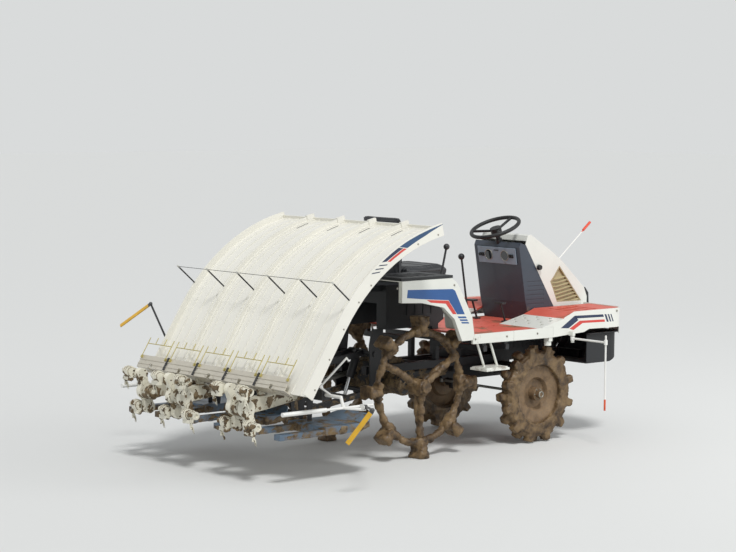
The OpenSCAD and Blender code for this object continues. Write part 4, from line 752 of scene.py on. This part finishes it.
def piping(name, made, centre, axes, samples=72):
    """A cord of vinyl sewn round a pad where a plane through its centre cuts it."""
    shape = bmesh.new()
    shape.from_mesh(made.data)
    tree = BVHTree.FromBMesh(shape)
    shape.free()
    across = Vector(axes[0]).cross(Vector(axes[1])).normalized()
    path = []
    for i in range(samples):
        turn = 2 * math.pi * i / samples
        way = math.cos(turn) * Vector(axes[0]) + math.sin(turn) * Vector(axes[1])
        path.append(tree.ray_cast(Vector(centre) + way, -way)[0])
    turns = [2 * math.pi * k / PIPING_SIDES for k in range(PIPING_SIDES)]
    shape = bmesh.new()
    rings = []
    for i, point in enumerate(path):
        along = (path[(i + 1) % samples] - path[i - 1]).normalized()
        side = along.cross(across).normalized()
        rings.append([
            shape.verts.new(point + PIPING_RADIUS * (math.cos(t) * side + math.sin(t) * across))
            for t in turns])
    for i, ring in enumerate(rings):
        after = rings[(i + 1) % samples]
        for k in range(PIPING_SIDES):
            beside = (k + 1) % PIPING_SIDES
            shape.faces.new((ring[k], ring[beside], after[beside], after[k]))
    bmesh.ops.recalc_face_normals(shape, faces=shape.faces)
    return piece(name, shape, piping_vinyl, "chassis", smooth=True)


piping("cushion_piping", cushion, (0.305, 0, 1.150), ((1, 0, 0), (0, 1, 0)))
piping("back_piping", back, (0.085, 0, 1.330), ((0, 1, 0), (-0.06, 0, 1)))

# Line markers: yellow sleeves round the blades of the nodes. The hitch of the planting section,
# the arm's pivot from there, the blade's root from the pivot and its tip from the root
HITCH = Vector((-0.724161, 0.0, 0.316496))
MARKER_PIVOT = Vector((-0.126, 0.905, 0.134))
MARKER_TOE = math.radians(10)
MARKER_REACH = Vector((-0.324, 0.432, 0.061))
MARKER_BLADE = Vector((-0.080, -0.124, -0.199))
SLEEVE_WIDE = 0.0288
SLEEVE_THICK = 0.0068
SLEEVE_START = 0.020
SLEEVE_TAPER = 0.985
# The sleeve goes this far past the blade's tip
SLEEVE_PAST = 0.0002

for side, raised in (("left", 78), ("right", 0)):
    mirror = Matrix.Scale(-1 if side == "right" else 1, 4, (0, 1, 0))
    aim = (Matrix.Rotation(math.atan2(MARKER_BLADE.y, MARKER_BLADE.x), 4, "Z")
           @ Matrix.Rotation(math.acos(MARKER_BLADE.z / MARKER_BLADE.length), 4, "Y"))
    seat = (Matrix.Translation(HITCH) @ mirror @ Matrix.Translation(MARKER_PIVOT)
            @ Matrix.Rotation(MARKER_TOE, 4, "Z") @ Matrix.Rotation(math.radians(raised), 4, "X")
            @ Matrix.Rotation(-MARKER_TOE, 4, "Z") @ Matrix.Translation(MARKER_REACH) @ aim)
    shape = bmesh.new()
    length = MARKER_BLADE.length
    covered = length - SLEEVE_START
    bmesh.ops.create_cube(shape, size=1.0, matrix=(
        Matrix.Translation((0, 0, SLEEVE_START + covered / 2))
        @ Matrix.Diagonal((SLEEVE_WIDE, SLEEVE_THICK, covered + 2 * SLEEVE_PAST, 1.0))))
    for vert in shape.verts:
        if vert.co.z > length / 2:
            vert.co.x *= SLEEVE_TAPER
    bmesh.ops.bevel(shape, geom=shape.edges, offset=0.0006, affect="EDGES", segments=2,
                    profile=0.5, material=-1)
    bmesh.ops.transform(shape, matrix=seat, verts=shape.verts)
    bmesh.ops.recalc_face_normals(shape, faces=shape.faces)
    within(shape, *cad_box)
    piece("marker_blade_" + side, shape, blade_paint, "line_marker_" + side)

# Small parts and fasteners


def rod(shape, start, end, radius, segments=14, far=None):
    """Adds a round rod from start to end, whose far radius may differ."""
    start, end = Vector(start), Vector(end)
    way = end - start
    bmesh.ops.create_cone(shape, cap_ends=True, segments=segments, radius1=radius,
                          radius2=radius if far is None else far, depth=way.length,
                          matrix=Matrix.Translation((start + end) / 2) @ turned_to(way))


def block(shape, low, high, soft):
    """Adds a box between two corners, its edges rounded."""
    low, high = Vector(low), Vector(high)
    made = bmesh.ops.create_cube(shape, size=1.0, matrix=(
        Matrix.Translation((low + high) / 2) @ Matrix.Diagonal((*(high - low), 1.0))))
    edges = dict.fromkeys(edge for vert in made["verts"] for edge in vert.link_edges)
    bmesh.ops.bevel(shape, geom=list(edges), offset=soft, affect="EDGES", segments=2, profile=0.5,
                    material=-1)


def torus(shape, place, axis, radius, thick, around=32, section=8):
    """Adds a ring round an axis. Tags mark the vertices that are already in place."""
    start = [shape.verts.new((radius + thick * math.cos(t), 0, thick * math.sin(t)))
             for t in (2 * math.pi * k / section for k in range(section))]
    edges = [shape.edges.new((start[k], start[(k + 1) % section])) for k in range(section)]
    bmesh.ops.spin(shape, geom=start + edges, cent=(0, 0, 0), axis=(0, 0, 1),
                   angle=2 * math.pi, steps=around, use_merge=True)
    fresh = [vert for vert in shape.verts if not vert.tag]
    bmesh.ops.transform(shape, matrix=Matrix.Translation(Vector(place)) @ turned_to(axis),
                        verts=fresh)
    for vert in shape.verts:
        vert.tag = True


# Front wheels: the outer faces of hub and disc in Y, and the radius of the bolts' circle
HUB_FACE = 0.5045
DISC_FACE = 0.4782
DISC_BOLT_CIRCLE = 0.034

for side, s in (("left", 1), ("right", -1)):
    # A bright ring round the dark end of the front axle, and the bolts of the wheel's disc
    shape = bmesh.new()
    torus(shape, (FRONT_AXLE[0], s * HUB_FACE, FRONT_AXLE[1]), (0, 1, 0), 0.0185, 0.0050)
    bmesh.ops.recalc_face_normals(shape, faces=shape.faces)
    piece("hub_ring_" + side, shape, zinc, "front_wheel_" + side, smooth=True)
    bolts("disc_bolts_" + side, [
        (FRONT_AXLE[0] + DISC_BOLT_CIRCLE * math.cos(math.radians(a)), s * DISC_FACE,
         FRONT_AXLE[1] + DISC_BOLT_CIRCLE * math.sin(math.radians(a)))
        for a in range(0, 360, 60)], (0, s, 0), 0.0055, 0.005, "front_wheel_" + side)

# Screws along the seedling table's side panels
SCREW_HEIGHT = -0.062
bolts("table_screws", [
    (on_table(s, SCREW_HEIGHT)[0], side, on_table(s, SCREW_HEIGHT)[1])
    for side in TABLE_SIDES for s in (0.06, 0.26, 0.46, 0.66, 0.80, 1.26, 1.44)],
    lambda place: outward(place, TABLE_SHIFT), 0.0060, 0.0035, "seedling_table")

# Dark caps on the clips between the lengths of the foot rail
RAIL_SEAT = (Matrix.Translation((TABLE_FOOT.x, 0, TABLE_FOOT.y))
             @ Matrix.Rotation(-TABLE_SLOPE, 4, "Y"))
CLIP_HALF = 0.0076
shape = bmesh.new()
for i in DIVIDERS:
    block(shape, (-0.0065, i * COLUMN - CLIP_HALF, 0.0140),
          (0.0806, i * COLUMN + CLIP_HALF, 0.0216), 0.001)
piece("rail_clip_caps", shape, black_rod, "planting_section", seat=RAIL_SEAT)

# Light tips on the table's retaining rods
ROD_S = TABLE_STRAIGHT + 2 * ARC_PART
low, high = on_table(ROD_S, 0.158), on_table(ROD_S, 0.1755)
shape = bmesh.new()
for i in (-2.5, *DIVIDERS, 2.5):
    y = i * COLUMN + TABLE_SHIFT
    rod(shape, (low.x, y, low.y), (high.x, y, high.y), 0.0060, far=0.0048)
piece("table_rod_tips", shape, grey_cap, "seedling_table")

# Thin black strips on both sides of each divider near the top of the table: painted shade of the
# dividers
DIVIDER_SHADE_WIDE = 0.008
divider_shade_outline = table_strip(1.30, 1.40, (-0.0400, -0.0400), (-0.0394, -0.0394))
shape = bmesh.new()
for i in DIVIDERS:
    for shift in (-0.034, 0.034):
        plate(shape, divider_shade_outline, i * COLUMN + TABLE_SHIFT + shift - DIVIDER_SHADE_WIDE / 2, DIVIDER_SHADE_WIDE)
bmesh.ops.recalc_face_normals(shape, faces=shape.faces)
piece("table_divider_shade", shape, black_plastic, "seedling_table")

# Orange feet on the side markers
FOOT_X, FOOT_Y = 1.207, 0.917
for side, s in (("left", 1), ("right", -1)):
    shape = bmesh.new()
    rod(shape, (FOOT_X, s * FOOT_Y, 0.2452), (FOOT_X, s * FOOT_Y, 0.318), 0.0066)
    piece("side_marker_foot_" + side, shape, orange_cap, "side_marker_" + side)

# Instrument panel on the leg shield's upper part, with its faces left blank. It is drawn upright
# with its top at the origin and faces -X
PANEL_TOP = Vector((1.110, 0, 1.268))
PANEL_LEAN = math.atan2(0.066, 0.368)
PANEL_SEAT = Matrix.Translation(PANEL_TOP) @ Matrix.Rotation(-PANEL_LEAN, 4, "Y")
PANEL_MIDDLE = -0.060
DIAL_Y = 0.075
LAMPS = 5
LAMP_PITCH = 0.0095
shape = bmesh.new()
block(shape, (-0.0080, -0.180, -0.118), (-0.0005, 0.180, -0.006), 0.003)
piece("instrument_panel", shape, panel_abs, "chassis", seat=PANEL_SEAT)
shape = bmesh.new()
for y in (-DIAL_Y, DIAL_Y):
    rod(shape, (-0.0075, y, PANEL_MIDDLE), (-0.0105, y, PANEL_MIDDLE), 0.034, segments=36)
for i in range(LAMPS):
    y = -0.022 + LAMP_PITCH * i
    block(shape, (-0.0105, y, -0.030), (-0.0075, y + 0.0065, -0.022), 0.001)
piece("dial_faces", shape, dial_face, "chassis", seat=PANEL_SEAT)
shape = bmesh.new()
for y in (-DIAL_Y, DIAL_Y):
    torus(shape, (-0.0095, y, PANEL_MIDDLE), (1, 0, 0), 0.035, 0.0025, around=40)
bmesh.ops.recalc_face_normals(shape, faces=shape.faces)
piece("dial_rings", shape, zinc, "chassis", smooth=True, seat=PANEL_SEAT)
shape = bmesh.new()
for y in (-0.150, -0.128, 0.128):
    block(shape, (-0.0170, y - 0.008, -0.072), (-0.0070, y + 0.008, -0.048), 0.002)
rod(shape, (-0.0070, 0.152, PANEL_MIDDLE), (-0.0200, 0.152, PANEL_MIDDLE), 0.0110, segments=24)
piece("panel_switches", shape, soft_black, "chassis", seat=PANEL_SEAT)

# Knobs that hold the bonnet down, on both sides
KNOB_X, KNOB_Z = 1.292, 1.130
shape = bmesh.new()
for s in (1, -1):
    rod(shape, (KNOB_X, s * 0.2150, KNOB_Z), (KNOB_X, s * 0.2230, KNOB_Z), 0.010, segments=20)
    rod(shape, (KNOB_X, s * 0.2225, KNOB_Z), (KNOB_X, s * 0.2400, KNOB_Z), 0.0190, segments=28,
        far=0.0165)
piece("bonnet_knobs", shape, soft_black, "bonnet")

# Rubber boots at the feet of the levers. Columns: foot, the lever's way, height, radius
BOOT_FOLDS = 4
shape = bmesh.new()
for foot, way, tall, wide in (((1.0335, 0.190, 0.786), (-0.055, 0.015, 0.413), 0.050, 0.024),
                              ((0.304, -0.276, 0.976), (0.072, -0.015, 0.350), 0.045, 0.022)):
    step = Vector(way).normalized() * (tall / BOOT_FOLDS)
    for k in range(BOOT_FOLDS):
        base = Vector(foot) + k * step
        rod(shape, base, base + step * 0.55, wide * (1 - 0.14 * k), segments=20,
            far=wide * (1.05 - 0.14 * k))
        rod(shape, base + step * 0.55, base + step, wide * (1.05 - 0.14 * k), segments=20,
            far=wide * (0.80 - 0.14 * k))
piece("lever_boots", shape, soft_black, "chassis")

# Bolts through the body's panels, in X and Z
BOLT_FACE = 0.6001
bolts("panel_bolts", sides([(x, BOLT_FACE, z) for x, z in (
    (0.340, 0.742), (0.620, 0.742), (0.900, 0.742), (-0.330, 1.100), (0.150, 1.096),
    (1.660, 0.845))]), outward, 0.0075, 0.005, "chassis")

# Floor, light and backdrop

FLOOR_HALF = 60
shape = bmesh.new()
bmesh.ops.create_grid(shape, x_segments=1, y_segments=1, size=FLOOR_HALF)
floor_mesh = bpy.data.meshes.new("studio_floor")
shape.to_mesh(floor_mesh)
shape.free()
studio_floor = bpy.data.objects.new("studio_floor", floor_mesh)
scene.collection.objects.link(studio_floor)
# Studio floor: pale matt paper
paper, _, paper_shader, _ = new_material("pale matt paper")
paper_shader.inputs["Base Color"].default_value = linear("#d9dad8")
paper_shader.inputs["Roughness"].default_value = 0.9
floor_mesh.materials.append(paper)

world = bpy.data.worlds.new("studio")
scene.world = world
world.use_nodes = True
sky = world.node_tree
sky.nodes.clear()
# The camera, gloss and glass see the backdrop's colour, and everything else a softer fill
ray = add(sky, "LightPath")
seen = add(sky, "Math", {0: ray.outputs["Is Camera Ray"], 1: ray.outputs["Is Glossy Ray"]},
           operation="MAXIMUM")
seen = add(sky, "Math", {0: seen.outputs[0], 1: ray.outputs["Is Transmission Ray"]},
           operation="MAXIMUM")
fill = add(sky, "Background", {"Color": linear("#f3f5f8"), "Strength": 0.55})
shown = add(sky, "Background", {"Color": linear("#d9dbdb"), "Strength": 1.0})
blend = add(sky, "MixShader", {0: seen.outputs[0], 1: fill.outputs[0], 2: shown.outputs[0]})
add(sky, "OutputWorld", {"Surface": blend.outputs[0]})


def lamp(name, kind, power, place, aim, **settings):
    """A lamp at a place that shines towards another."""
    light = bpy.data.lights.new(name, kind)
    light.energy = power
    for key, value in settings.items():
        setattr(light, key, value)
    made = bpy.data.objects.new(name, light)
    made.location = place
    made.rotation_euler = (Vector(aim) - Vector(place)).to_track_quat("-Z", "Y").to_euler()
    scene.collection.objects.link(made)


lamp("key_sun", "SUN", 1.9, (-3, -5, 8), (0, 0, 0), angle=math.radians(12))
lamp("fill_panel", "AREA", 160, (5, -6, 4), (0.5, 0, 0.6), size=4.0)

scene.view_settings.view_transform = "Standard"
